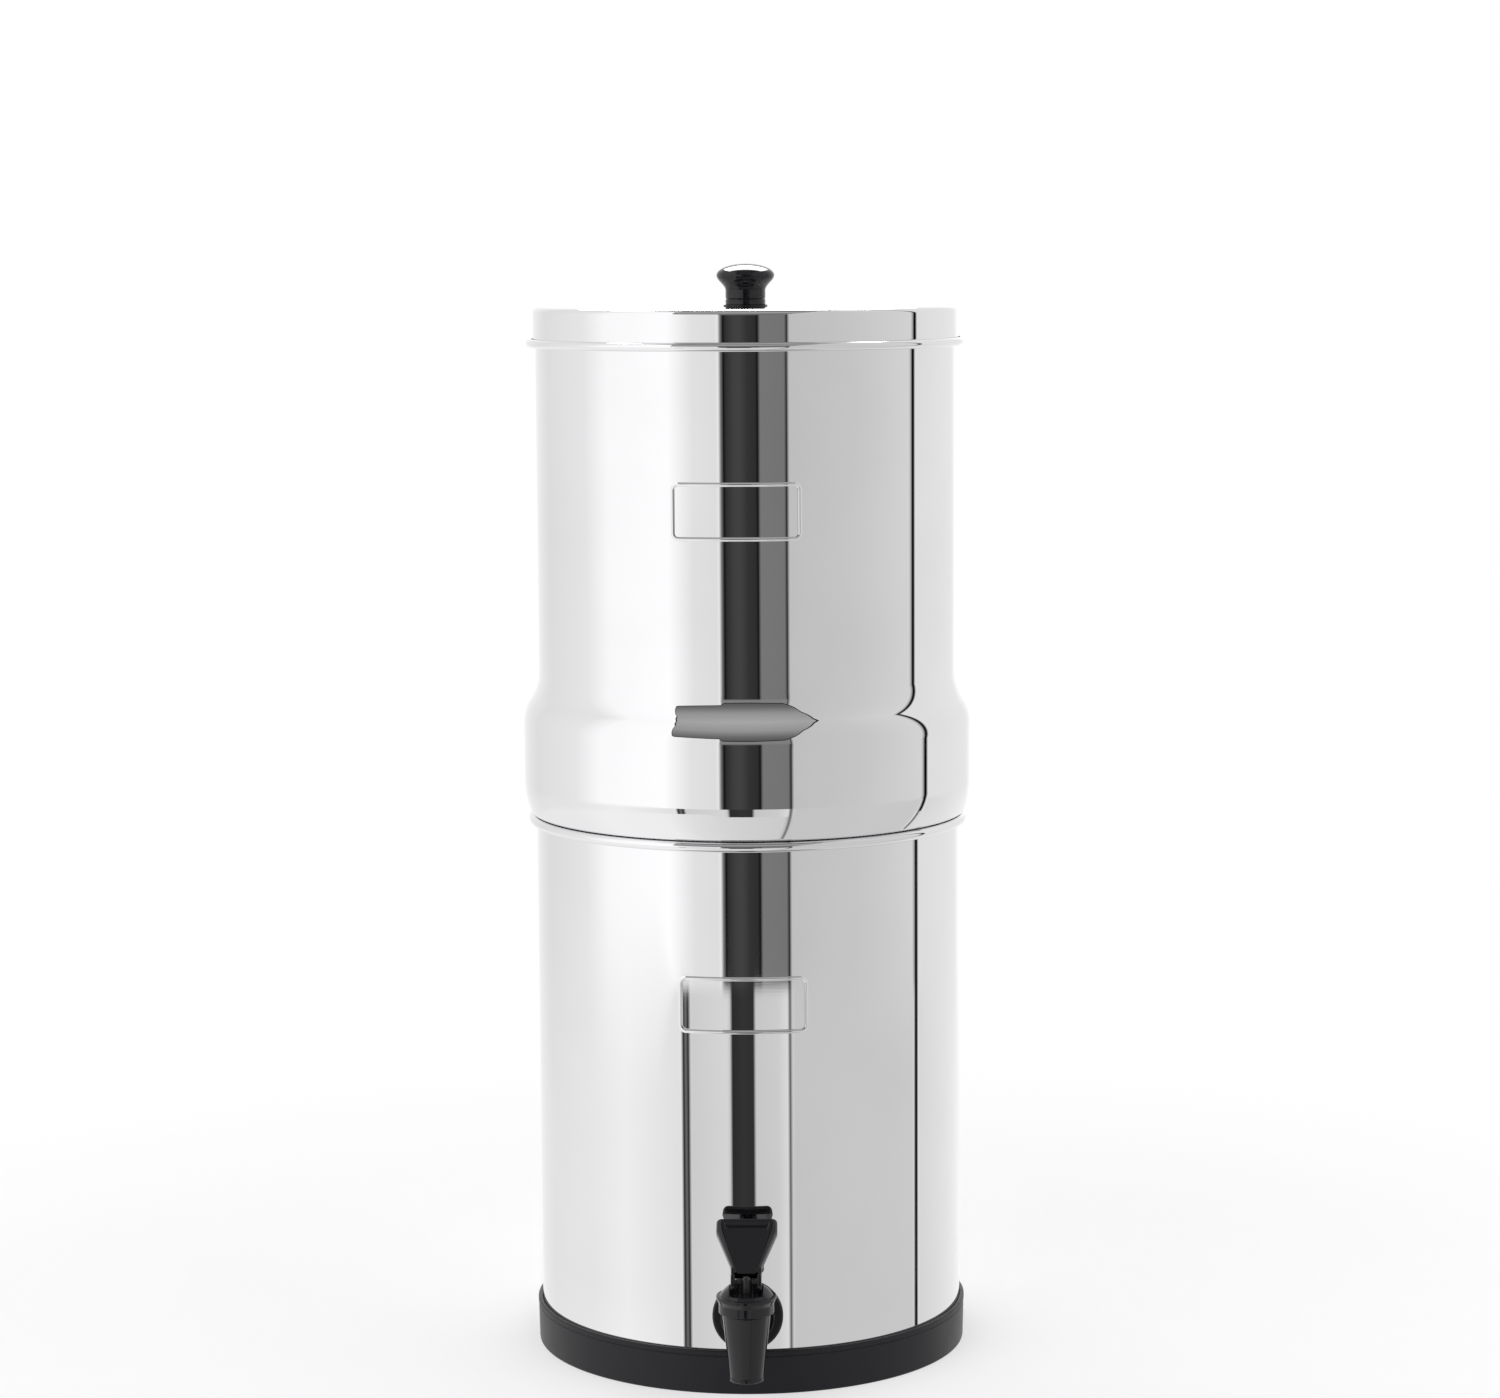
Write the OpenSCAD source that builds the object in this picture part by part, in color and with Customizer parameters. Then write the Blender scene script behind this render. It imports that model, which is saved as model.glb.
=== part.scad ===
// Gravity water filter with tap: two nested stainless chambers, a lid and a lever tap.
// Millimetres, +Z up. The origin is on the chambers' axis, at the plane that the base ring rests on.
// The tap points along -Y.

/* [Base ring] */
// Height of the ring
ring_h = 23.2; // [18:0.1:30]
// Thickness of the ring's wall at its top
ring_wall = 2.3; // [2:0.1:4]
// How much narrower the ring's foot is than its top, on the radius
ring_taper = 0.6; // [0:0.1:1]
// Thickness of the foot under the lower chamber
ring_foot = 4; // [3:0.1:6]
// Width of the foot under the lower chamber
ring_foot_w = 14; // [10:0.5:25]
// Height of the lip round the ring's top
ring_lip_h = 2.5; // [2:0.1:4]
// Depth and half height of the groove under the lip
ring_groove = 0.5; // [0.3:0.1:0.8]
// Gap between the ring and the lower chamber
ring_clear = 0.15; // [0.1:0.05:0.4]

/* [Lower chamber] */
// Thickness of the lower chamber's sheet
lower_sheet = 1; // [0.8:0.1:1.5]
// Height of the lower chamber, from its floor to its rim
lower_h = 286.6; // [240:1:340]
// Outer radius of the corner round the floor
lower_corner = 6; // [4:0.5:12]
// Diameter of the rolled rim
rim_bead_d = 5.2; // [4.5:0.1:7]

/* [Upper chamber] */
// Outer diameter of the straight wall
upper_od = 224.6; // [200:0.1:250]
// Thickness of the upper chamber's sheet
upper_sheet = 0.8; // [0.6:0.1:1.2]
// Height from the shelf that sits on the lower chamber to the top edge
upper_h = 269.3; // [260:0.1:320]
// Depth of the end that drops into the lower chamber
plug_h = 29; // [20:0.5:45]
// Outer radius of the corner round the upper floor
plug_corner = 5; // [3:0.5:10]
// Gap between that end and the lower chamber
plug_clear = 1; // [0.5:0.1:2]
// How far the bulge stands out of the wall
bulge_out = 8.35; // [6:0.05:12]
// Height of the bulge's straight band
bulge_band_h = 29.4; // [20:0.1:40]
// Height of the flare above the band
bulge_flare_h = 27.5; // [22:0.1:35]
// Height of the tucked-in part below the band
bulge_tuck_h = 18.5; // [12:0.1:24]
// Slope of the tucked-in part at its foot, in degrees
bulge_tuck_turn = 20; // [10:1:30]
// Height of the folded edge at the top
hem_h = 5; // [3:0.5:10]
// Gap between the shelf and the lower chamber's rim
chamber_gap = 0.3; // [0.2:0.05:0.5]

/* [Badges] */
// Width of a badge frame
badge_w = 67; // [50:1:80]
// Height of a badge frame
badge_h = 30; // [20:1:40]
// Width of the frame's raised border
badge_border = 2.2; // [1.5:0.1:3]
// Outer corner radius of the frame
badge_corner = 4; // [3:0.5:8]
// How far the border stands out of the wall
badge_rise = 0.6; // [0.4:0.1:1]
// Depth of the lower badge's middle below the lower chamber's rim
badge_low_drop = 85.2; // [50:0.1:120]
// Height of the upper badge's middle above the upper chamber's shelf
badge_high_z = 168.5; // [120:0.1:200]
// Turn of the lower badge from the tap's direction, in degrees
badge_low_turn = -0.7; // [-10:0.1:10]
// Turn of the upper badge from the tap's direction, in degrees
badge_high_turn = -2.4; // [-10:0.1:10]

/* [Filters] */
// Radius of the circle that the four stem holes lie on
hole_circle_r = 56; // [54:0.5:62]
// Diameter of a filter's threaded stem, and of a hole plug's
stem_d = 11.8; // [10:0.1:14]
// Gap round a stem in the chamber's floor
stem_clear = 0.3; // [0.2:0.05:0.6]
// Fit of a nut, a washer or an insert on its thread
thread_clear = 0.1; // [0.05:0.05:0.2]
// Length of a filter's stem below its base
filter_stem_h = 30; // [26:1:40]
// Diameter of a filter's core
core_d = 67; // [55:0.5:70]
// Bore of a filter's core
core_bore_d = 24; // [15:0.5:35]
// Height of a filter's core
core_h = 215; // [150:1:220]
// Thickness of the wall of the cup at each end of the core
cup_wall = 1.85; // [1.2:0.05:4]
// Thickness of a cup's end wall
cup_end = 5; // [3:0.5:8]
// Depth of the top cup's socket
cap_socket = 7; // [4:0.5:12]
// Depth of the base cup's socket
base_socket = 9; // [5:0.5:15]
// Gap between the core and its cups
core_clear = 0.15; // [0.1:0.05:0.3]
// Diameter of the water passage through the stem
drain_d = 5; // [3:0.5:6]
// Diameter of the sealing washers on the stems
washer_d = 24; // [20:0.5:30]
// Thickness of the sealing washers
washer_t = 2; // [1.5:0.1:3]
// Thickness of a wing nut's hub round its thread
wing_hub_wall = 3.5; // [2.5:0.1:6]
// Height of a wing nut's hub
wing_hub_h = 10; // [8:0.5:14]
// Diameter of a wing
wing_d = 12; // [10:0.5:16]
// Thickness of a wing
wing_t = 3; // [2:0.5:5]
// Diameter of a hole plug's head
plug_head_d = 22; // [20:0.5:28]
// Height of a hole plug's head
plug_head_h = 5; // [3:0.5:8]
// Length of a hole plug's stem
plug_stem_h = 20; // [18:0.5:26]

/* [Lid] */
// Thickness of the lid's sheet
lid_sheet = 0.7; // [0.5:0.1:1]
// Gap between the lid's skirt and the upper chamber
lid_clear = 0.5; // [0.3:0.1:1]
// Height of the lid, from its top to the foot of its rolled edge
lid_h = 21.2; // [15:0.1:30]
// Radius of the edge round the top
lid_edge = 3; // [2:0.1:6]
// Diameter of the rolled edge
lid_bead_d = 4.6; // [3.8:0.1:6]
// Gap between the lid and the upper chamber's folded edge
lid_gap = 0.2; // [0.1:0.05:0.4]

/* [Knob] */
// Widest diameter of the knob
knob_d = 30.9; // [28:0.1:40]
// Height from the knob's foot to its widest part
knob_wide_z = 15.7; // [14:0.1:20]
// Height of the dome above the widest part
knob_dome_h = 6.1; // [4:0.1:9]
// Diameter of the knob's neck
knob_neck_d = 21.3; // [18:0.1:24]
// Height of the neck above the knob's foot
knob_neck_z = 7.6; // [6:0.1:9]
// Height of the collar under the knob's groove
knob_collar_h = 2.8; // [2:0.1:4]
// Depth and half height of the groove
knob_groove = 0.4; // [0.3:0.1:0.8]
// Diameter of the washer under the knob
knob_washer_d = 23.4; // [22:0.1:28]
// Thickness of the washer under the knob
knob_washer_t = 0.6; // [0.4:0.1:1.2]
// Diameter of the knob's screw
screw_d = 5; // [4:0.5:6]
// Diameter of the screw's head
screw_head_d = 9.5; // [8.5:0.5:12]
// Height of the screw's head
screw_head_h = 3; // [2.5:0.1:4]
// How far the screw stands into the knob
screw_grip = 11; // [8:0.5:12]
// Diameter of the lock washer under the screw's head
lock_washer_d = 11; // [9:0.5:14]
// Thickness of the lock washer
lock_washer_t = 1; // [0.8:0.1:1.5]
// Thickness of the threaded insert in the knob
insert_wall = 1.4; // [1:0.1:2]
// Length of the threaded insert
insert_h = 12; // [9:0.5:12.5]

/* [Tap body] */
// Gap between the tap's outer washer and the base ring
washer_gap = 0.3; // [0.2:0.1:10]
// Distance from the lower chamber's wall to the tap's upright axis
tap_reach = 40; // [34:0.5:60]
// Diameter of the threaded shank
shank_d = 16; // [14:0.5:18]
// Gap round the shank in the chamber's wall
shank_clear = 0.25; // [0.2:0.05:0.5]
// Bore of the shank
shank_bore_d = 8; // [6:0.5:9]
// Length of thread left past the nut
shank_spare = 4; // [2:0.5:8]
// How much thicker than the shank the arm between the flange and the body is, on the radius
arm_step = 1; // [0.5:0.1:1.5]
// Diameter of the flange behind the outer washer
flange_d = 28; // [24:0.5:34]
// Thickness of the flange
flange_t = 3; // [2:0.5:5]
// Diameter of the outer washer
outer_washer_d = 36.8; // [34:0.1:42]
// Thickness of the outer washer at its middle
outer_washer_t = 2.6; // [2:0.1:4]
// Diameter of the inner washer
inner_washer_d = 28; // [25:0.5:32]
// Thickness of the inner washer at its middle
inner_washer_t = 3; // [2.5:0.1:5]
// Thickness of the shank's nut round its thread, at its flats
nut_wall = 4; // [3:0.5:6]
// Thickness of the shank's nut
nut_t = 8; // [5:0.5:12]
// Depth of the spout's mouth below the shank
mouth_drop = 21.9; // [20:0.1:26]
// Inner diameter of the spout's mouth
mouth_bore_d = 12; // [10:0.5:13]
// Thickness of the mouth's wall
mouth_wall = 2.65; // [2:0.05:3.5]
// How far the lip round the mouth stands out
mouth_lip = 0.35; // [0.2:0.05:0.8]
// Height of the lip round the mouth
mouth_lip_h = 1.8; // [1:0.1:3]
// Depth of the mouth's bore
mouth_bore_h = 8; // [5:0.5:9]
// Diameter of the passage above the mouth
outlet_d = 9.5; // [7:0.5:10]
// Diameter of the valve chamber
valve_d = 16; // [15.5:0.1:17]
// Thickness of the threaded neck round the valve chamber
neck_wall = 3.5; // [2.5:0.1:4.5]
// Height of the threaded neck
neck_h = 5.1; // [5:0.1:9]
// Width of the shoulder round the neck
shoulder = 0.95; // [0.5:0.05:2]
// Height of the shoulder above the shank
shoulder_rise = 13; // [10.5:0.1:16]
// Depth of the valve chamber's floor below the shank
valve_floor_drop = 8.7; // [7.5:0.1:9.5]
// Thickness of the raised seat round the passage
seat_rim = 1.25; // [0.8:0.05:2]
// Height of the raised seat
seat_rim_h = 1.3; // [1:0.1:2]

/* [Tap bonnet] */
// Thickness of the bonnet's wall
bonnet_wall = 2.5; // [1.5:0.1:4]
// How far the ring round the bonnet's top stands out
bonnet_ring = 1.25; // [0.5:0.05:2]
// Height of the ring round the top
bonnet_ring_h = 1.6; // [1:0.1:3]
// Height of the bevel under the ring
bonnet_bevel_h = 2.4; // [1:0.1:3]
// Thickness of the bonnet's top at its ring
bonnet_top_t = 4.1; // [3:0.1:5]
// Width of the ledge between the ring and the dome
bonnet_ledge = 1.8; // [1:0.1:3]
// Height that the dome would have over the ring without the fork's slot
bonnet_dome_h = 7.5; // [6:0.5:9]
// Height of the slot's floor above the ring
bonnet_step = 1.5; // [0.5:0.1:2]
// Gap between the fork and each side of its slot
slot_clear = 0.3; // [0.2:0.05:0.5]
// Gap under the bonnet, above the shoulder
bonnet_gap = 0.4; // [0.2:0.1:0.8]
// Radial gap of the parts that run on each other
run_clear = 0.08; // [0.05:0.01:0.1]

/* [Tap valve] */
// Diameter of the valve's stem
rod_d = 6.5; // [5.5:0.1:7]
// How far the button at the stem's foot stands out of the stem
button_step = 1.25; // [0.8:0.05:1.5]
// Height of the button
button_h = 2.9; // [2:0.1:4]
// How far the seat cup reaches past the raised seat
seal_over = 0.6; // [0.3:0.1:1]
// Thickness of rubber under the button
seal_t = 6; // [4:0.5:8]
// Height of rubber over the button
seal_grip_h = 3; // [2:0.1:4]
// Height of the seat cup's skirt
skirt_h = 9.5; // [6:0.5:10]
// Thickness of the seat cup's skirt
skirt_t = 1; // [0.8:0.1:1.5]
// Gap between the skirt and the valve chamber
skirt_clear = 0.25; // [0.15:0.05:0.5]
// Gap under the closed seat cup
seal_gap = 0.05; // [0.02:0.01:0.1]
// Diameter of the spring's wire
wire_d = 1; // [0.8:0.1:1.2]
// Gap between the spring and the seat cup's skirt
spring_clear = 0.9; // [0.5:0.1:1.2]
// Turns of the spring
spring_turns = 5; // [4:1:6]

/* [Tap lever] */
// Height of the lever's pin above the slot's floor
pin_rise = 4.8; // [4.8:0.1:6]
// Diameter of the lever's pin
pin_d = 3; // [2.5:0.1:3.5]
// Lean of the lever towards the chamber, in degrees
lever_lean = 50; // [40:1:55]
// Length of the lever above its pin
lever_len = 38.6; // [30:0.1:45]
// Width of the lever at its top
lever_top_w = 31.4; // [26:0.1:36]
// Width that the paddle narrows to at its pin
lever_low_w = 8.6; // [8:0.1:12]
// Length of the lever's straight sides
lever_side_len = 8; // [4:0.5:12]
// Thickness of the lever's paddle
lever_t = 5.7; // [4:0.1:6]
// Corner radius of the lever's top
lever_corner = 3; // [2:0.1:5]
// Width of the lever's panel at its top
panel_top_w = 21.8; // [16:0.1:23]
// Width that the panel narrows to at the pin
panel_low_w = 6.4; // [4:0.1:7]
// Height of the raised brow above the panel
lever_brow = 3; // [1.5:0.1:5]
// Depth of the lever's panel
lever_panel = 1.4; // [0.8:0.1:2]
// Thickness of each ear of the fork
ear_t = 2; // [1.6:0.05:3]
// Gap between an ear and the stem
ear_clear = 2.55; // [1:0.05:3]
// How far the cam's middle lies from the pin
cam_throw = 3; // [2:0.1:3.5]
// Upward slant of the line from the pin to the cam's middle, in degrees
cam_lag = 10; // [5:1:15]
// Gap between the cam and the slot's floor
cam_gap = 0.3; // [0.2:0.05:0.5]
// Gap between the web of the fork and the stem's top
web_clear = 1.2; // [0.4:0.1:1.5]

/* [Hidden] */
$fn = 96;
fine_sides = 720;
arc_steps = 10;
curl_steps = 24;
// Turn of a rolled edge past the wall it starts from, in degrees
curl_turn = 290;
coil_sides = 8;
coil_steps = 12;
badge_bite = 0.5;
hole_over = 1;
hex_sides = 6;

upper_r = upper_od / 2;
lower_ir = upper_r + plug_clear;
lower_r = lower_ir + lower_sheet;
lower_z = ring_foot;
rim_z = lower_z + lower_h;
rim_bead_z = rim_z - rim_bead_d / 2;
badge_low_z = rim_z - badge_low_drop;

shelf_z = rim_z + chamber_gap;
upper_floor_z = shelf_z - plug_h;
upper_floor_top = upper_floor_z + upper_sheet;
upper_rim_z = shelf_z + upper_h;
bulge_r = upper_r + bulge_out;
band_z = shelf_z + bulge_tuck_h;
flare_z = band_z + bulge_band_h;
flare_top_z = flare_z + bulge_flare_h;
flare_r = (bulge_flare_h * bulge_flare_h + bulge_out * bulge_out) / (4 * bulge_out);
flare_turn = asin(bulge_flare_h / (2 * flare_r));
shelf_corner = 2.5 * upper_sheet;
tuck_r = shelf_corner + (bulge_tuck_h - shelf_corner) / sin(bulge_tuck_turn);

lid_ir = upper_r + lid_clear;
lid_r = lid_ir + lid_sheet;
// The folded edge meets the lid where the lid's top turns down into its skirt.
lid_turn_in = max(0, lid_edge - lid_sheet - lid_clear - upper_sheet);
lid_turn_room = max(0, lid_edge - lid_sheet - lid_gap - upper_sheet);
lid_turn_up = sqrt(lid_turn_room * lid_turn_room - min(lid_turn_in, lid_turn_room) ^ 2);
lid_top_z = upper_rim_z + max(lid_gap + lid_sheet, lid_edge - upper_sheet - lid_turn_up);
lid_under_z = lid_top_z - lid_sheet;
lid_bead_z = lid_top_z - lid_h + lid_bead_d / 2;

knob_z = lid_top_z + knob_washer_t;
screw_r = screw_d / 2;
screw_hole_r = screw_r + thread_clear;
lock_washer_z = lid_under_z - lock_washer_t;
insert_r = screw_hole_r + insert_wall;

stem_r = stem_d / 2;
stem_fit_r = stem_r + thread_clear;
wing_hub_r = stem_fit_r + wing_hub_wall;
socket_r = core_d / 2 + core_clear;
cup_r = socket_r + cup_wall;
base_z = upper_floor_top + washer_t;
core_z = base_z + cup_end;
core_top_z = core_z + core_h;

tap_z = ring_h + washer_gap + outer_washer_d / 2;
tap_y = -(lower_r + tap_reach);
mouth_z = tap_z - mouth_drop;
mouth_r = mouth_bore_d / 2 + mouth_wall;
shoulder_z = tap_z + shoulder_rise;
neck_r = valve_d / 2 + neck_wall;
neck_top_z = shoulder_z + neck_h;
valve_floor_z = tap_z - valve_floor_drop;
seat_r = outlet_d / 2 + seat_rim;
seat_z = valve_floor_z + seat_rim_h;
washer_face_y = -(lower_r + outer_washer_t);
nut_face_y = -(lower_ir - inner_washer_t);
shank_end_y = nut_face_y + nut_t + shank_spare;
shank_r = shank_d / 2;
shank_fit_r = shank_r + thread_clear;

bonnet_ir = neck_r + thread_clear;
bonnet_r = bonnet_ir + bonnet_wall;
bonnet_z = shoulder_z + bonnet_gap;
bonnet_under_z = neck_top_z + 2 * thread_clear;
bonnet_top_z = bonnet_under_z + bonnet_top_t;
slot_z = bonnet_top_z + bonnet_step;
dome_foot_r = bonnet_r + bonnet_ring - bonnet_ledge;
dome_r = (dome_foot_r * dome_foot_r + bonnet_dome_h * bonnet_dome_h) / (2 * bonnet_dome_h);

rod_r = rod_d / 2;
button_r = rod_r + button_step;
seal_r = seat_r + seal_over;
seal_z = seat_z + seal_gap;
button_z = seal_z + seal_t;
button_top_z = button_z + button_h;
seal_floor_z = button_top_z + seal_grip_h;
skirt_r = valve_d / 2 - skirt_clear;
skirt_ir = skirt_r - skirt_t;
coil_r = skirt_ir - spring_clear - wire_d / 2;
coil_low_z = seal_floor_z + wire_d / 2 + thread_clear;
coil_high_z = bonnet_under_z - wire_d / 2 - thread_clear;

pin_z = slot_z + pin_rise;
pin_hole_r = pin_d / 2 + run_clear;
slot_half = rod_r + ear_clear;
fork_half = slot_half + ear_t;
slot_wall = fork_half + slot_clear;
web_r = rod_r + web_clear;
cam_r = pin_rise - cam_gap + cam_throw * sin(cam_lag);

// Points of an arc, from one angle to another.
function arc(r, z, radius, from, to, steps = arc_steps) = [
    for (i = [0:steps])
        let (a = from + (to - from) * i / steps)
        [r + radius * cos(a), z + radius * sin(a)]
];

function reverse(points) = [for (i = [len(points) - 1:-1:0]) points[i]];

// Outline of a rectangle with round corners, round the origin.
function round_box(w, h, radius) = concat(
    arc(w / 2 - radius, h / 2 - radius, radius, 0, 90),
    arc(radius - w / 2, h / 2 - radius, radius, 90, 180),
    arc(radius - w / 2, radius - h / 2, radius, 180, 270),
    arc(w / 2 - radius, radius - h / 2, radius, 270, 360)
);

// Outline of the lower chamber's sheet and its rolled rim, at a depth below its outer surface.
function lower_outline(depth) = concat(
    [[0, lower_z + depth]],
    arc(lower_r - lower_corner, lower_z + lower_corner, lower_corner - depth, -90, 0),
    arc(lower_ir + rim_bead_d / 2, rim_bead_z, rim_bead_d / 2 - lower_sheet + depth,
        180, 180 - curl_turn, curl_steps)
);

// Outline of the upper chamber's sheet, at a depth below its outer surface.
function upper_outline(depth) = concat(
    [[0, upper_floor_z + depth]],
    arc(upper_r - plug_corner, upper_floor_z + plug_corner, plug_corner - depth, -90, 0),
    [[upper_r - depth, shelf_z + depth]],
    arc(bulge_r - tuck_r + (tuck_r - shelf_corner) * cos(bulge_tuck_turn), shelf_z + shelf_corner,
        shelf_corner - depth, -90, -bulge_tuck_turn),
    arc(bulge_r - tuck_r, band_z, tuck_r - depth, -bulge_tuck_turn, 0),
    arc(bulge_r - flare_r, flare_z, flare_r - depth, 0, flare_turn),
    arc(upper_r + flare_r, flare_top_z, flare_r + depth, 180 + flare_turn, 180)
);

// Outline of the lid's sheet and its rolled edge, at a depth below its outer surface.
function lid_outline(depth) = concat(
    [[0, lid_top_z - depth]],
    arc(lid_r - lid_edge, lid_top_z - lid_edge, lid_edge - depth, 90, 0),
    arc(lid_ir + lid_bead_d / 2, lid_bead_z, lid_bead_d / 2 - lid_sheet + depth,
        180, 180 + curl_turn, curl_steps)
);

module revolve(points) rotate_extrude() polygon(points);

// A raised frame on the front of a wall.
module badge(wall_r, z, turn) {
    rotate([0, 0, turn])
    translate([0, 0, z])
    intersection() {
        rotate([90, 0, 0])
        linear_extrude(wall_r + badge_rise)
        difference() {
            polygon(round_box(badge_w, badge_h, badge_corner));
            polygon(round_box(badge_w - 2 * badge_border, badge_h - 2 * badge_border,
                badge_corner - badge_border / 2));
        }
        difference() {
            cylinder(h = badge_h + 2, r = wall_r + badge_rise, center = true);
            cylinder(h = badge_h + 4, r = wall_r - badge_bite, center = true);
        }
    }
}

// A cylinder on the shank's axis, between two distances from the chambers' axis.
module along_shank(from, to, radius) {
    translate([0, from, tap_z])
    rotate([-90, 0, 0])
    cylinder(h = to - from, r = radius);
}

module at_tap() translate([0, tap_y, 0]) children();

// The four stem holes, or the two that filters use or that plugs close.
module at_holes(angles) {
    for (a = angles)
        rotate([0, 0, a]) translate([hole_circle_r, 0, 0]) children();
}

left = [180];
right = [0];
plugged = [90, 270];
all_holes = concat(left, right, plugged);

module base_ring() color([0.06, 0.06, 0.065]) {
    inner = lower_r + ring_clear;
    top_r = inner + ring_wall;
    groove_z = ring_h - ring_lip_h;
    groove_r = top_r - ring_groove;
    revolve([
        [lower_r - ring_foot_w, 0],
        [top_r - ring_taper, 0],
        [top_r - ring_taper / 4, groove_z - 2 * ring_groove],
        [groove_r, groove_z - ring_groove],
        [top_r, groove_z],
        [top_r, ring_h - ring_wall / 4],
        [top_r - ring_wall / 4, ring_h],
        [inner, ring_h],
        [inner, ring_foot],
        [lower_r - ring_foot_w, ring_foot]
    ]);
}

module lower_chamber() color([0.78, 0.79, 0.81]) {
    difference() {
        union() {
            revolve(concat(lower_outline(0), reverse(lower_outline(lower_sheet))));
            badge(lower_r, badge_low_z, badge_low_turn);
        }
        along_shank(-lower_r - hole_over, -lower_ir + shank_d, shank_r + shank_clear);
    }
}

module tap_outer_washer() color([0.05, 0.05, 0.055]) {
    difference() {
        along_shank(washer_face_y, -lower_r + outer_washer_t, outer_washer_d / 2);
        cylinder(h = rim_z, r = lower_r, $fn = fine_sides);
        along_shank(washer_face_y - hole_over, -lower_r + 2 * outer_washer_t, shank_fit_r);
    }
}

module tap_inner_washer() color([0.05, 0.05, 0.055]) {
    difference() {
        intersection() {
            along_shank(-lower_r, nut_face_y, inner_washer_d / 2);
            cylinder(h = rim_z, r = lower_ir, $fn = fine_sides);
        }
        along_shank(-lower_r - hole_over, nut_face_y + hole_over, shank_fit_r);
    }
}

module tap_nut() color([0.1, 0.1, 0.11]) {
    difference() {
        translate([0, nut_face_y, tap_z])
        rotate([-90, 0, 0])
        cylinder(h = nut_t, r = (shank_fit_r + nut_wall) / cos(180 / hex_sides), $fn = hex_sides);
        along_shank(nut_face_y - hole_over, nut_face_y + nut_t + hole_over, shank_fit_r);
    }
}

module tap_body() color([0.04, 0.04, 0.045]) {
    difference() {
        union() {
            at_tap() revolve([
                [0, mouth_z],
                [mouth_r, mouth_z],
                [mouth_r + mouth_lip, mouth_z + mouth_lip],
                [mouth_r + mouth_lip, mouth_z + mouth_lip_h],
                [mouth_r, mouth_z + mouth_lip_h + mouth_lip],
                [neck_r + shoulder, shoulder_z - mouth_lip_h],
                [neck_r + shoulder, shoulder_z],
                [neck_r, shoulder_z],
                [neck_r, neck_top_z],
                [0, neck_top_z]
            ]);
            along_shank(tap_y, washer_face_y, shank_r + arm_step);
            along_shank(washer_face_y - flange_t, washer_face_y, flange_d / 2);
            along_shank(washer_face_y, shank_end_y, shank_r);
        }
        at_tap() {
            translate([0, 0, mouth_z - hole_over]) cylinder(h = mouth_bore_h + hole_over, d = mouth_bore_d);
            translate([0, 0, mouth_z]) cylinder(h = neck_top_z - mouth_z + hole_over, d = outlet_d);
            difference() {
                translate([0, 0, valve_floor_z]) cylinder(h = neck_top_z, d = valve_d);
                translate([0, 0, valve_floor_z - hole_over])
                cylinder(h = seat_rim_h + hole_over, r = seat_r);
            }
        }
        along_shank(tap_y, shank_end_y + hole_over, shank_bore_d / 2);
    }
}

module tap_bonnet() color([0.04, 0.04, 0.045]) {
    ring_z = bonnet_top_z - bonnet_ring_h;
    edge = bonnet_ring_h / 4;
    at_tap() difference() {
        revolve(concat([
            [0, bonnet_z],
            [bonnet_r, bonnet_z],
            [bonnet_r, ring_z - bonnet_bevel_h],
            [bonnet_r + bonnet_ring, ring_z],
            [bonnet_r + bonnet_ring, bonnet_top_z - edge],
            [bonnet_r + bonnet_ring - edge, bonnet_top_z]
        ], arc(0, bonnet_top_z + bonnet_dome_h - dome_r, dome_r, acos(dome_foot_r / dome_r), 90)));
        translate([0, 0, bonnet_z - hole_over])
        cylinder(h = bonnet_under_z - bonnet_z + hole_over, r = bonnet_ir);
        translate([0, 0, bonnet_z]) cylinder(h = bonnet_top_z, r = rod_r + run_clear);
        translate([-slot_wall, -bonnet_top_z, slot_z])
        cube([2 * slot_wall, 2 * bonnet_top_z, bonnet_dome_h]);
    }
}

module tap_stem() color([0.07, 0.07, 0.075]) {
    at_tap() difference() {
        revolve(concat(
            [[0, button_z], [button_r, button_z], [button_r, button_top_z], [rod_r, button_top_z]],
            arc(0, pin_z, rod_r, 0, 90)
        ));
        translate([0, 0, pin_z])
        rotate([0, 90, 0])
        cylinder(h = 2 * rod_d, r = pin_hole_r, center = true);
    }
}

module tap_seat_cup() color([0.85, 0.85, 0.82]) {
    fit = thread_clear;
    at_tap() revolve([
        [0, seal_z],
        [seal_r, seal_z],
        [seal_r, seal_floor_z - skirt_t],
        [skirt_r, seal_floor_z],
        [skirt_r, seal_floor_z + skirt_h],
        [skirt_ir, seal_floor_z + skirt_h],
        [skirt_ir, seal_floor_z],
        [rod_r + fit, seal_floor_z],
        [rod_r + fit, button_top_z + fit],
        [button_r + fit, button_top_z + fit],
        [button_r + fit, button_z - fit],
        [0, button_z - fit]
    ]);
}

// A coil of round wire as one closed tube.
module tap_spring() color([0.7, 0.71, 0.73]) {
    rings = spring_turns * coil_steps;
    points = [
        for (i = [0:rings], k = [0:coil_sides - 1])
            let (
                turn = 360 * i / coil_steps,
                side = 360 * k / coil_sides,
                reach = coil_r + wire_d / 2 * cos(side),
                z = coil_low_z + (coil_high_z - coil_low_z) * i / rings
            )
            [reach * cos(turn), reach * sin(turn), z + wire_d / 2 * sin(side)]
    ];
    walls = [
        for (i = [0:rings - 1], k = [0:coil_sides - 1])
            let (
                low = i * coil_sides,
                high = low + coil_sides,
                next = (k + 1) % coil_sides
            )
            [low + k, high + k, high + next, low + next]
    ];
    ends = [
        [for (k = [0:coil_sides - 1]) k],
        [for (k = [coil_sides - 1:-1:0]) rings * coil_sides + k]
    ];
    at_tap() polyhedron(points, concat(walls, ends));
}

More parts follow.
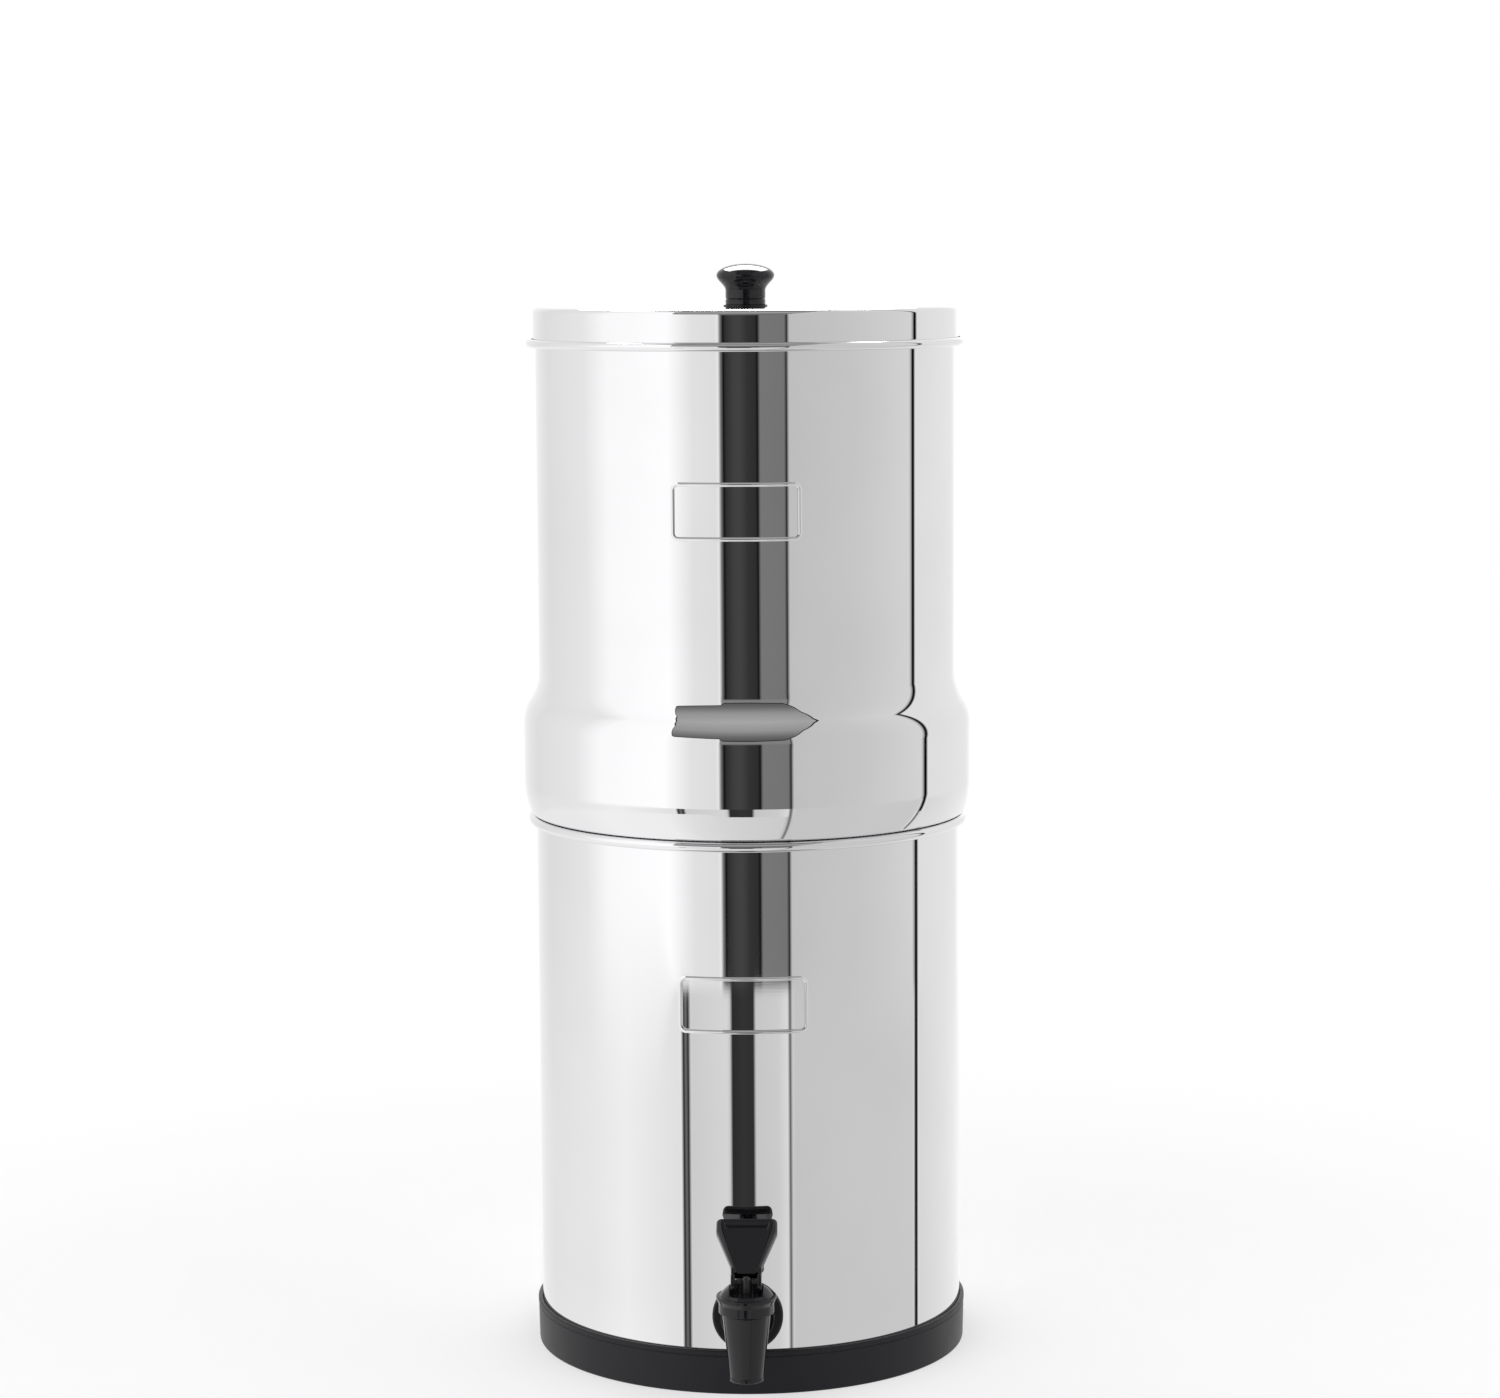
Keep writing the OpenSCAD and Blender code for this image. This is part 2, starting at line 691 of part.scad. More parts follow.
module tap_pin() color([0.07, 0.07, 0.075]) {
    at_tap() translate([0, 0, pin_z])
    rotate([0, 90, 0])
    cylinder(h = 2 * fork_half, d = pin_d, center = true);
}

// The paddle's outline, with the pin at the origin.
function paddle() =
    let (
        half = lever_top_w / 2,
        side_z = lever_len - lever_side_len,
        corner_z = lever_len - lever_corner
    )
    concat(
        [[lever_low_w / 2, 0], [half, side_z]],
        arc(half - lever_corner, corner_z, lever_corner, 0, 90),
        arc(lever_corner - half, corner_z, lever_corner, 90, 180),
        [[-half, side_z], [-lever_low_w / 2, 0]]
    );

// The recessed panel's outline, open towards the fork.
function panel() =
    let (low = panel_low_w / 2, high = panel_top_w / 2, top_z = lever_len - lever_brow)
    [[low, 0], [high, top_z], [-high, top_z], [-low, 0]];

module tap_lever() color([0.04, 0.04, 0.045]) {
    cam_y = -cam_throw * cos(cam_lag);
    cam_z = cam_throw * sin(cam_lag);
    at_tap() translate([0, 0, pin_z])
    difference() {
        union() {
            translate([0, cam_y, cam_z])
            rotate([0, 90, 0])
            cylinder(h = 2 * fork_half, r = cam_r, center = true);
            rotate([-lever_lean, 0, 0]) {
                translate([0, lever_t / 2, 0])
                rotate([90, 0, 0])
                linear_extrude(lever_t) polygon(paddle());
                translate([-fork_half, -lever_t / 2, 0]) cube([2 * fork_half, lever_t, web_r + rod_r]);
            }
        }
        rotate([-lever_lean, 0, 0]) {
            translate([0, lever_panel - lever_t / 2, 0])
            rotate([90, 0, 0])
            linear_extrude(lever_panel + hole_over) polygon(panel());
            translate([-slot_half, -2 * cam_r, -2 * cam_r])
            cube([2 * slot_half, 4 * cam_r, 2 * cam_r + web_r]);
        }
        rotate([0, 90, 0]) cylinder(h = 4 * fork_half, r = pin_hole_r, center = true);
    }
}

module upper_chamber() color([0.8, 0.81, 0.83]) {
    difference() {
        union() {
            revolve(concat(
                upper_outline(0),
                arc(upper_r - upper_sheet, upper_rim_z - upper_sheet, upper_sheet, 0, 180),
                [
                    [upper_r - 2 * upper_sheet, upper_rim_z - hem_h],
                    [upper_r - upper_sheet, upper_rim_z - hem_h]
                ],
                reverse(upper_outline(upper_sheet))
            ));
            badge(upper_r, shelf_z + badge_high_z, badge_high_turn);
        }
        at_holes(all_holes)
        translate([0, 0, upper_floor_z - hole_over])
        cylinder(h = upper_sheet + 2 * hole_over, r = stem_r + stem_clear);
    }
}

module filter_core(side) color([0.13, 0.13, 0.14]) {
    at_holes(side) translate([0, 0, core_z])
    difference() {
        cylinder(h = core_h, d = core_d);
        translate([0, 0, -hole_over]) cylinder(h = core_h + 2 * hole_over, d = core_bore_d);
    }
}

module filter_cap(side) color([0.08, 0.08, 0.09]) {
    at_holes(side) translate([0, 0, core_top_z - cap_socket])
    difference() {
        cylinder(h = cap_socket + cup_end, r = cup_r);
        translate([0, 0, -hole_over]) cylinder(h = cap_socket + hole_over, r = socket_r);
    }
}

module filter_base(side) color([0.08, 0.08, 0.09]) {
    at_holes(side) translate([0, 0, base_z])
    difference() {
        union() {
            cylinder(h = cup_end + base_socket, r = cup_r);
            translate([0, 0, -filter_stem_h]) cylinder(h = filter_stem_h, r = stem_r);
        }
        translate([0, 0, cup_end]) cylinder(h = base_socket + hole_over, r = socket_r);
        translate([0, 0, -filter_stem_h - hole_over])
        cylinder(h = filter_stem_h + cup_end + 2 * hole_over, d = drain_d);
    }
}

module stem_washers() color([0.75, 0.3, 0.2]) {
    at_holes(all_holes) translate([0, 0, upper_floor_top])
    difference() {
        cylinder(h = washer_t, d = washer_d);
        translate([0, 0, -hole_over]) cylinder(h = washer_t + 2 * hole_over, r = stem_fit_r);
    }
}

module wing_nuts() color([0.9, 0.9, 0.88]) {
    wing_y = wing_hub_r + wing_d / 4;
    at_holes(all_holes) translate([0, 0, upper_floor_z - wing_hub_h])
    difference() {
        union() {
            cylinder(h = wing_hub_h, r = wing_hub_r);
            for (y = [-wing_y, wing_y])
                translate([0, y, wing_hub_h / 2 - wing_d / 4])
                rotate([0, 90, 0])
                cylinder(h = wing_t, d = wing_d, center = true);
        }
        translate([0, 0, -wing_d]) cylinder(h = wing_hub_h + 2 * wing_d, r = stem_fit_r);
    }
}

module hole_plugs() color([0.9, 0.9, 0.88]) {
    at_holes(plugged) translate([0, 0, base_z]) {
        cylinder(h = plug_head_h, d = plug_head_d);
        translate([0, 0, -plug_stem_h]) cylinder(h = plug_stem_h, r = stem_r);
    }
}

module lid() color([0.8, 0.81, 0.83]) {
    difference() {
        revolve(concat(lid_outline(0), reverse(lid_outline(lid_sheet))));
        translate([0, 0, lid_under_z - hole_over])
        cylinder(h = lid_sheet + 2 * hole_over, r = screw_hole_r);
    }
}

module lid_knob() color([0.04, 0.04, 0.045]) {
    wide = knob_d / 2;
    neck = knob_neck_d / 2;
    flare = [
        for (i = [0:arc_steps])
            let (t = i / arc_steps)
            [
                neck + (wide - neck) * (1 - cos(180 * t)) / 2,
                knob_neck_z + (knob_wide_z - knob_neck_z) * t
            ]
    ];
    dome = [
        for (i = [1:arc_steps])
            let (a = 90 * i / arc_steps)
            [wide * cos(a), knob_wide_z + knob_dome_h * sin(a)]
    ];
    translate([0, 0, knob_z])
    difference() {
        revolve(concat(
            [
                [0, 0],
                [neck, 0],
                [neck, knob_collar_h],
                [neck - knob_groove, knob_collar_h + knob_groove],
                [neck, knob_collar_h + 2 * knob_groove]
            ],
            flare,
            dome
        ));
        translate([0, 0, -hole_over])
        cylinder(h = insert_h + thread_clear + hole_over, r = insert_r + thread_clear);
    }
}

module knob_insert() color([0.75, 0.6, 0.3]) {
    translate([0, 0, knob_z])
    difference() {
        cylinder(h = insert_h, r = insert_r);
        translate([0, 0, -hole_over]) cylinder(h = insert_h + 2 * hole_over, r = screw_hole_r);
    }
}

module knob_screw() color([0.7, 0.71, 0.73]) {
    translate([0, 0, lock_washer_z - screw_head_h]) {
        difference() {
            cylinder(h = screw_head_h, d = screw_head_d);
            translate([0, 0, -hole_over])
            cylinder(h = screw_head_h / 2 + hole_over, d = screw_head_d / 2.4, $fn = hex_sides);
        }
        translate([0, 0, screw_head_h])
        cylinder(h = knob_z - lock_washer_z + screw_grip, r = screw_r);
    }
}

module knob_lock_washer() color([0.7, 0.71, 0.73]) {
    translate([0, 0, lock_washer_z])
    difference() {
        cylinder(h = lock_washer_t, d = lock_washer_d);
        translate([0, 0, -hole_over]) cylinder(h = lock_washer_t + 2 * hole_over, r = screw_hole_r);
    }
}

module knob_washer() color([0.05, 0.05, 0.055]) {
    translate([0, 0, lid_top_z])
    difference() {
        cylinder(h = knob_washer_t, d = knob_washer_d);
        translate([0, 0, -hole_over]) cylinder(h = knob_washer_t + 2 * hole_over, r = screw_hole_r);
    }
}

base_ring();
lower_chamber();
tap_outer_washer();
tap_inner_washer();
tap_nut();
tap_body();
tap_bonnet();
tap_stem();
tap_seat_cup();
tap_spring();
tap_pin();
tap_lever();
upper_chamber();
filter_core(left);  // filter_core_left
filter_core(right);  // filter_core_right
filter_cap(left);  // filter_cap_left
filter_cap(right);  // filter_cap_right
filter_base(left);  // filter_base_left
filter_base(right);  // filter_base_right
stem_washers();
wing_nuts();
hole_plugs();
lid();
lid_knob();
knob_insert();
knob_screw();
knob_lock_washer();
knob_washer();
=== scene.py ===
"""Dresses the gravity water filter: its chambers, lid, knob, base ring, tap and small parts."""

import math

import bmesh
import bpy
import numpy as np
from bpy.props import FloatProperty, FloatVectorProperty, PointerProperty
from bpy.types import Operator, Panel, PropertyGroup
from mathutils import Matrix, Vector


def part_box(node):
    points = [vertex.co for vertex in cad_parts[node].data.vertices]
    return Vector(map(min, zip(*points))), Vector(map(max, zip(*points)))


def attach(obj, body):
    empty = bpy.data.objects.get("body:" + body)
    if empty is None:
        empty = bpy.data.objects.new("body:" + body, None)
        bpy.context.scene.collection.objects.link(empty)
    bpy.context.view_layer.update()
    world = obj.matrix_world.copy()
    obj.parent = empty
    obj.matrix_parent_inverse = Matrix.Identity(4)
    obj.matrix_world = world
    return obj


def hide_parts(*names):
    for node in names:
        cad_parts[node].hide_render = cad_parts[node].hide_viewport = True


bl_info = {
    "name": "Gravity water filter",
    "version": (1, 0, 0),
    "blender": (4, 5, 0),
    "location": "View3D > Sidebar > Water filter",
    "description": "Makes the chambers, lid, tap and finishes of a gravity water filter",
    "category": "Object",
}

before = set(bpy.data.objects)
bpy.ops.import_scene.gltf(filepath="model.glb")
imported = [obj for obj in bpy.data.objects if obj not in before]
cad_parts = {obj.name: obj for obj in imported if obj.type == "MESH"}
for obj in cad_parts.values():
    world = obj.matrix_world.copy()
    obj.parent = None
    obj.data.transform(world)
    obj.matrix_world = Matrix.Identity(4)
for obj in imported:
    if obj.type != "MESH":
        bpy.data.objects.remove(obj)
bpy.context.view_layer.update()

TURN = 2 * math.pi
UPRIGHT = Matrix.Identity(4)
# How many faces go round a turned piece, and the angle past which a corner of its outline is sharp.
SEGMENTS = 216
CREASE = math.cos(math.radians(8))
WHITE = (1, 1, 1, 1)


# ---------------------------------------------------------------- sizes and colours


def length(label, default, description):
    return FloatProperty(name=label, description=description, default=default, min=0, soft_max=1,
                         precision=5, unit="LENGTH", subtype="DISTANCE")


def turn(label, degrees, description):
    return FloatProperty(name=label, description=description, default=math.radians(degrees),
                         unit="ROTATION", subtype="ANGLE")


def share(label, default, description):
    return FloatProperty(name=label, description=description, default=default, min=0, max=1,
                         subtype="FACTOR")


def colour(label, default, description):
    return FloatVectorProperty(name=label, description=description, default=default, size=3,
                               min=0, max=1, subtype="COLOR")


class ChamberSizes(PropertyGroup):
    """The two steel chambers and the badge frames pressed into them"""
    lower_r: length("Lower radius", 0.1143, "Outer radius of the lower chamber")
    lower_sheet: length("Lower sheet", 0.001, "Thickness of the lower chamber's sheet")
    lower_z: length("Lower floor", 0.004, "Height of the lower chamber's underside")
    lower_corner: length("Lower corner", 0.006, "Outer radius of the corner round the lower floor")
    rim_z: length("Lower rim", 0.2906, "Height of the lower chamber's rolled rim")
    rim_bead: length("Rim bead", 0.0052, "Diameter of the lower chamber's rolled rim")
    upper_r: length("Upper radius", 0.1123, "Outer radius of the upper chamber's straight wall")
    upper_sheet: length("Upper sheet", 0.0008, "Thickness of the upper chamber's sheet")
    upper_rim_z: length("Upper edge", 0.5602, "Height of the upper chamber's folded edge")
    hem: length("Hem", 0.005, "Height of the folded edge")
    shelf_z: length("Shelf", 0.2909, "Height of the shelf that sits on the lower rim")
    shelf_corner: length("Shelf corner", 0.0024, "Radius of the corner under the bulge")
    plug_h: length("Plug", 0.029, "Depth of the end that drops into the lower chamber")
    plug_corner: length("Plug corner", 0.005, "Outer radius of the corner round the upper floor")
    bulge_r: length("Bulge radius", 0.12065, "Outer radius of the bulge")
    tuck_h: length("Tuck", 0.0185, "Height of the tucked-in part under the bulge")
    tuck_turn: turn("Tuck slope", 20, "Slope of the tucked-in part at its foot")
    band_h: length("Band", 0.0294, "Height of the bulge's straight band")
    flare_h: length("Flare", 0.0275, "Height of the flare above the bulge")
    badge_w: length("Badge width", 0.067, "Width of a badge frame")
    badge_h: length("Badge height", 0.03, "Height of a badge frame")
    badge_border: length("Badge border", 0.0022, "Width of the frame's raised border")
    badge_corner: length("Badge corner", 0.004, "Outer corner radius of a badge frame")
    badge_rise: length("Badge rise", 0.00045, "How far the border stands out")
    badge_edge: length("Badge edge", 0.001, "Width of the border's sloping edges")
    badge_low_z: length("Lower badge", 0.2054, "Height of the lower badge frame's middle")
    badge_high_z: length("Upper badge", 0.4594, "Height of the upper badge frame's middle")
    badge_low_turn: turn("Lower badge turn", -0.7, "Turn of the lower badge frame from the tap")
    badge_high_turn: turn("Upper badge turn", -1.9, "Turn of the upper badge frame from the tap")


class TopSizes(PropertyGroup):
    """The lid and its knob"""
    lid_ir: length("Lid bore", 0.1128, "Inner radius of the lid's skirt")
    sheet: length("Lid sheet", 0.0007, "Thickness of the lid's sheet")
    lid_h: length("Lid height", 0.0212, "Height of the lid with its rolled edge")
    edge: length("Lid edge", 0.003, "Radius of the edge round the top")
    bead: length("Lid bead", 0.0046, "Diameter of the rolled edge")
    knob_r: length("Knob radius", 0.01545, "Widest radius of the knob")
    knob_wide_z: length("Knob widest", 0.0157, "Height from the knob's foot to its widest part")
    dome_h: length("Dome", 0.0061, "Height of the dome above the widest part")
    neck_r: length("Knob neck", 0.01065, "Radius of the knob's neck")
    neck_z: length("Neck height", 0.0076, "Height of the neck above the knob's foot")
    collar_h: length("Collar", 0.0028, "Height of the collar under the groove")
    groove: length("Knob groove", 0.0004, "Depth and half height of the groove")


class BaseSizes(PropertyGroup):
    """The rubber ring under the lower chamber"""
    h: length("Ring height", 0.0232, "Height of the ring")
    inner_r: length("Ring bore", 0.11445, "Inner radius of the ring's wall")
    wall: length("Ring wall", 0.0023, "Thickness of the ring's wall at its top")
    taper: length("Ring taper", 0.0006, "How much narrower the foot is than the top")
    foot: length("Ring foot", 0.004, "Thickness of the foot")
    foot_r: length("Foot bore", 0.1003, "Inner radius of the foot")
    lip_h: length("Ring lip", 0.0025, "Height of the lip round the top")
    groove: length("Ring groove", 0.0005, "Depth and half height of the groove under the lip")


class TapSizes(PropertyGroup):
    """The lever tap"""
    y: length("Tap reach", 0.1543, "Distance from the chambers' axis to the tap's upright axis")
    z: length("Shank height", 0.0419, "Height of the shank")
    shank_r: length("Shank radius", 0.008, "Radius of the threaded shank")
    arm_r: length("Arm radius", 0.009, "Radius of the arm behind the body")
    arm_fillet: length("Arm fillet", 0.0014, "Radius of the blend between arm and body")
    flange_r: length("Flange radius", 0.014, "Radius of the flange")
    flange_t: length("Flange", 0.003, "Thickness of the flange")
    washer_r: length("Washer radius", 0.0184, "Radius of the outer washer")
    washer_t: length("Washer", 0.0026, "Thickness of the outer washer at its middle")
    mouth_z: length("Mouth height", 0.02, "Height of the spout's mouth")
    mouth_r: length("Mouth radius", 0.00865, "Outer radius of the spout's mouth")
    mouth_bore_r: length("Mouth bore", 0.006, "Inner radius of the spout's mouth")
    lip: length("Mouth lip", 0.00035, "How far the lip round the mouth stands out")
    lip_h: length("Lip height", 0.0018, "Height of the lip round the mouth")
    shoulder_z: length("Shoulder height", 0.0549, "Height of the shoulder under the bonnet")
    shoulder_r: length("Shoulder radius", 0.01245, "Radius of the shoulder under the bonnet")
    bonnet_z: length("Bonnet foot", 0.0553, "Height of the bonnet's lower edge")
    bonnet_wall: length("Bonnet wall", 0.0025, "Thickness of the bonnet's wall")
    bonnet_top_z: length("Bonnet top", 0.0643, "Height of the top of the bonnet's ring")
    bonnet_top_t: length("Bonnet top thickness", 0.0041, "Thickness of the top at its ring")
    bonnet_r: length("Bonnet radius", 0.0141, "Radius of the bonnet's wall")
    ring_r: length("Bonnet ring", 0.01535, "Radius of the ring round the bonnet's top")
    ring_h: length("Bonnet ring height", 0.0016, "Height of the ring round the bonnet's top")
    bevel_h: length("Bonnet bevel", 0.0024, "Height of the bevel under the ring")
    bonnet_bore_r: length("Bonnet bore", 0.00333, "Radius of the hole that the stem runs in")
    ledge: length("Bonnet ledge", 0.0018, "Width of the ledge between the ring and the dome")
    dome_h: length("Bonnet dome", 0.0075, "Height that the dome would have without the fork's slot")
    cheek_edge: length("Cheek edge", 0.0005, "Rounding of the edges along the fork's slot")
    slot_z: length("Slot floor", 0.0658, "Height of the slot's floor in the dome")
    slot_wall: length("Slot half", 0.0081, "Half the width of the slot in the dome")
    pin_z: length("Pin height", 0.0706, "Height of the lever's pin")
    rod_r: length("Stem radius", 0.00325, "Radius of the valve's stem")
    lean: turn("Lever lean", 50, "Lean of the lever towards the chamber")
    lever_len: length("Lever length", 0.0386, "Length of the lever above its pin")
    lever_w: length("Lever width", 0.0314, "Width of the lever at its top")
    lever_low_w: length("Lever low width", 0.0086, "Width that the paddle narrows to at its pin")
    lever_side: length("Lever side", 0.008, "Length of the lever's straight sides")
    lever_t: length("Lever thickness", 0.0057, "Thickness of the lever's paddle")
    lever_corner: length("Lever corner", 0.002, "Corner radius of the lever's top")
    lever_edge: length("Lever edge", 0.0005, "Rounding of the lever's edges")
    flank: share("Flank", 0.8, "Share of the way from the paddle's edge to its panel that is round")
    flank_depth: length("Flank depth", 0.0032, "How far back the paddle's round flank reaches")
    crest: share("Crest", 0.1, "Share of that way that the crest beside the panel takes")
    panel_w: length("Panel width", 0.0212, "Width of the lever's sunk panel at its top")
    panel_low_w: length("Panel low width", 0.0064, "Width that the panel narrows to at the pin")
    panel_depth: length("Panel depth", 0.0014, "Depth of the lever's panel")
    brow: length("Panel brow", 0.003, "Height of the raised brow above the panel")
    step: length("Panel step", 0.0008, "Width of the steep step down to the panel at its sides")
    bank: length("Panel bank", 0.0034, "Height of the sloping bank at the panel's top")
    slot_half: length("Fork slot", 0.0058, "Half the width of the fork's slot")
    fork_half: length("Fork half", 0.0078, "Half the width of the fork")
    web_r: length("Fork web", 0.00445, "Distance from the pin to the fork's web")
    cam_r: length("Cam radius", 0.00502, "Radius of the cam on each ear")
    cam_y: length("Cam reach", 0.00295, "How far the cam's middle lies in front of the pin")
    cam_z: length("Cam rise", 0.00052, "How far the cam's middle lies above the pin")


class Finishes(PropertyGroup):
    """Colours and gloss of the finishes"""
    steel: colour("Steel", (0.83, 0.83, 0.84), "Colour of the polished steel")
    steel_rough: share("Steel roughness", 0.012, "Roughness of the polished steel")
    gloss_black: colour("Gloss black", (0.0056, 0.0053, 0.007), "Colour of the knob and the tap")
    gloss_rough: share("Gloss roughness", 0.1, "Roughness of the knob and the tap")
    rubber: colour("Rubber", (0.0118, 0.011, 0.014), "Colour of the base ring")
    rubber_rough: share("Rubber roughness", 0.42, "Roughness of the base ring")
    carbon: colour("Carbon", (0.022, 0.022, 0.023), "Colour of the filters' cores")
    red: colour("Silicone red", (0.42, 0.07, 0.035), "Colour of the stem washers")
    nylon: colour("White nylon", (0.8, 0.79, 0.76), "Colour of the wing nuts and plugs")
    brass: colour("Brass", (0.72, 0.5, 0.22), "Colour of the knob's insert")


class StudioSizes(PropertyGroup):
    """The camera, the floor and the light"""
    camera_y: length("Camera distance", 2.0, "Distance from the camera to the chambers' axis")
    camera_z: length("Camera height", 0.592, "Height of the camera above the floor")
    camera_turn: turn("Camera turn", 0.9, "Turn of the camera round the chambers' axis")
    camera_x: FloatProperty(name="Camera offset", description="How far right the camera stands",
                            default=0.00118, precision=5, unit="LENGTH", subtype="DISTANCE")
    camera_pitch: turn("Camera pitch", 6.886, "How far the camera looks down")
    camera_roll: turn("Camera roll", 0.33, "How far the camera is rolled")
    lens: FloatProperty(name="Lens", description="Focal length on a 36 mm sensor", default=89.56,
                        min=10, max=300, unit="CAMERA")
    floor_r: length("Floor radius", 4.0, "Radius of the floor")
    floor_fade: length("Floor fade", 0.75, "Distance at which the floor has turned white")
    world: share("Surround", 0.8, "Level of the light from all round")
    card_w: length("Card width", 0.95, "Width and length of the bright card over the object")
    card_y: length("Card start", 0.23, "How far behind the chambers' axis the card starts")
    card_z: length("Card height", 1.3, "Height of the card above the floor")
    card: FloatProperty(name="Card glow", description="Brightness of the card", default=18, min=0)
    key: FloatProperty(name="Key light", description="Power of the large lamp", default=9, min=0,
                       unit="POWER", subtype="POWER")


GROUPS = {
    "filter_chambers": ChamberSizes,
    "filter_top": TopSizes,
    "filter_base": BaseSizes,
    "filter_tap": TapSizes,
    "filter_finishes": Finishes,
    "filter_studio": StudioSizes,
}


# ---------------------------------------------------------------- outlines
# An outline is a list of points (r, z, normal r, normal z). It runs anticlockwise round its
# material, so the outside is on its right. A point without a normal takes that of its edge.


def arc(r, z, radius, start, end, steps, hollow=False):
    """Points of an arc in degrees; a hollow one faces its middle."""
    side = -1 if hollow else 1
    points = []
    for a in np.radians(np.linspace(start, end, steps + 1)):
        points.append((r + radius * math.cos(a), z + radius * math.sin(a),
                       side * math.cos(a), side * math.sin(a)))
    return points


def rounded(*corners, steps=4):
    """Points of a line with corners (r, z, fillet radius), each fillet an arc."""
    points = []
    for i, (r, z, fillet) in enumerate(corners):
        if fillet == 0 or i in (0, len(corners) - 1):
            points.append((r, z))
            continue
        here = Vector((r, z))
        back = (Vector(corners[i - 1][:2]) - here).normalized()
        ahead = (Vector(corners[i + 1][:2]) - here).normalized()
        half = back.angle(ahead) / 2
        middle = here + (back + ahead).normalized() * fillet / math.sin(half)
        first = here + back * fillet / math.tan(half) - middle
        last = here + ahead * fillet / math.tan(half) - middle
        convex = first.x * -back.y + first.y * back.x > 0
        sweep = first.angle_signed(last)
        for k in range(steps + 1):
            spoke = first.copy()
            spoke.rotate(Matrix.Rotation(-sweep * k / steps, 2))
            side = spoke.normalized() * (1 if convex else -1)
            points.append((middle.x + spoke.x, middle.y + spoke.y, side.x, side.y))
    return points


def strips(points):
    """Pairs of outline points, each pair one strip of faces, with sharp corners split."""
    pairs = []
    for p, q in zip(points, points[1:]):
        step = Vector((q[0] - p[0], q[1] - p[1]))
        if step.length < 1e-8:
            continue
        edge = Vector((step.y, -step.x)).normalized()
        pair = []
        for point in (p, q):
            own = Vector(point[2:]) if len(point) == 4 else edge
            pair.append((point[0], point[1], *(own if own.dot(edge) > CREASE else edge)))
        pairs.append(pair)
    return pairs


# ---------------------------------------------------------------- meshes


def placed(data):
    """An object for a mesh, a lamp or a camera, of the same name, in the scene."""
    piece = bpy.data.objects.new(data.name, data)
    bpy.context.scene.collection.objects.link(piece)
    return piece


class Shell:
    """Points, normals and faces that grow into one mesh."""

    def __init__(self):
        self.points, self.normals, self.faces = [], [], []

    def add(self, points, normals, faces, place=UPRIGHT):
        """Adds a patch, moved by place."""
        start = len(self.points)
        spin = np.array(place.to_3x3())
        shift = np.array(place.translation)
        self.points.extend(np.asarray(points, float) @ spin.T + shift)
        self.normals.extend(np.asarray(normals, float) @ spin.T)
        self.faces.extend([start + i for i in face] for face in faces)
        return self

    def turned(self, outline, angles=None, place=UPRIGHT, press=None):
        """An outline turned round +Z. press may move its points and normals first."""
        if angles is None:
            angles = np.linspace(-math.pi, math.pi, SEGMENTS, endpoint=False)
        count = len(angles)
        rings, made, faces = {}, [], []

        def ring(point):
            key = tuple(round(v, 9) for v in point)
            if key not in rings:
                rings[key] = len(rings)
                made.append(point)
            return rings[key] * count

        for low, high in strips(outline):
            a, b = ring(low), ring(high)
            for j in range(count):
                k = (j + 1) % count
                if low[0] < 1e-9:
                    faces.append((a + j, b + k, b + j))
                elif high[0] < 1e-9:
                    faces.append((a + j, a + k, b + j))
                else:
                    faces.append((a + j, a + k, b + k, b + j))
        made = np.array(made)
        across, along = np.sin(angles), -np.cos(angles)
        r, z, nr, nz = (made[:, i][:, None] for i in range(4))
        flat = np.ones(count)
        points = np.stack((r * across, r * along, z * flat), -1).reshape(-1, 3)
        normals = np.stack((nr * across, nr * along, nz * flat), -1).reshape(-1, 3)
        if press:
            points, normals = press(points, normals)
        return self.add(points, normals, faces, place)

    def made(self, name):
        """The mesh object, with these normals."""
        used = sorted({i for face in self.faces for i in face})
        new = {old: i for i, old in enumerate(used)}
        mesh = bpy.data.meshes.new(name)
        mesh.from_pydata([tuple(self.points[i]) for i in used], [],
                         [[new[i] for i in face] for face in self.faces])
        mesh.polygons.foreach_set("use_smooth", [True] * len(mesh.polygons))
        normals = [Vector(self.normals[i]).normalized() for i in used]
        mesh.normals_split_custom_set_from_vertices(normals)
        return placed(mesh)


def bevelled(name, points, faces, width, segments=3, limit=35):
    """A mesh object with rounded edges and flat sides that stay flat."""
    mesh = bpy.data.meshes.new(name)
    mesh.from_pydata(points, [], faces)
    mesh.update()
    mesh.shade_smooth()
    piece = placed(mesh)
    bevel = piece.modifiers.new("round", "BEVEL")
    bevel.width, bevel.segments = width, segments
    bevel.limit_method, bevel.angle_limit = "ANGLE", math.radians(limit)
    bevel.use_clamp_overlap = True
    weighted = piece.modifiers.new("flat", "WEIGHTED_NORMAL")
    weighted.keep_sharp = True
    return piece


def finished(piece, body, slot, material, *nodes):
    """Gives a piece its finish and its body, and hides the nodes that it stands for."""
    piece.data.materials.clear()
    piece.data.materials.append(material)
    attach(piece, body)
    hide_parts(*nodes)
    return piece


# ---------------------------------------------------------------- shader sums


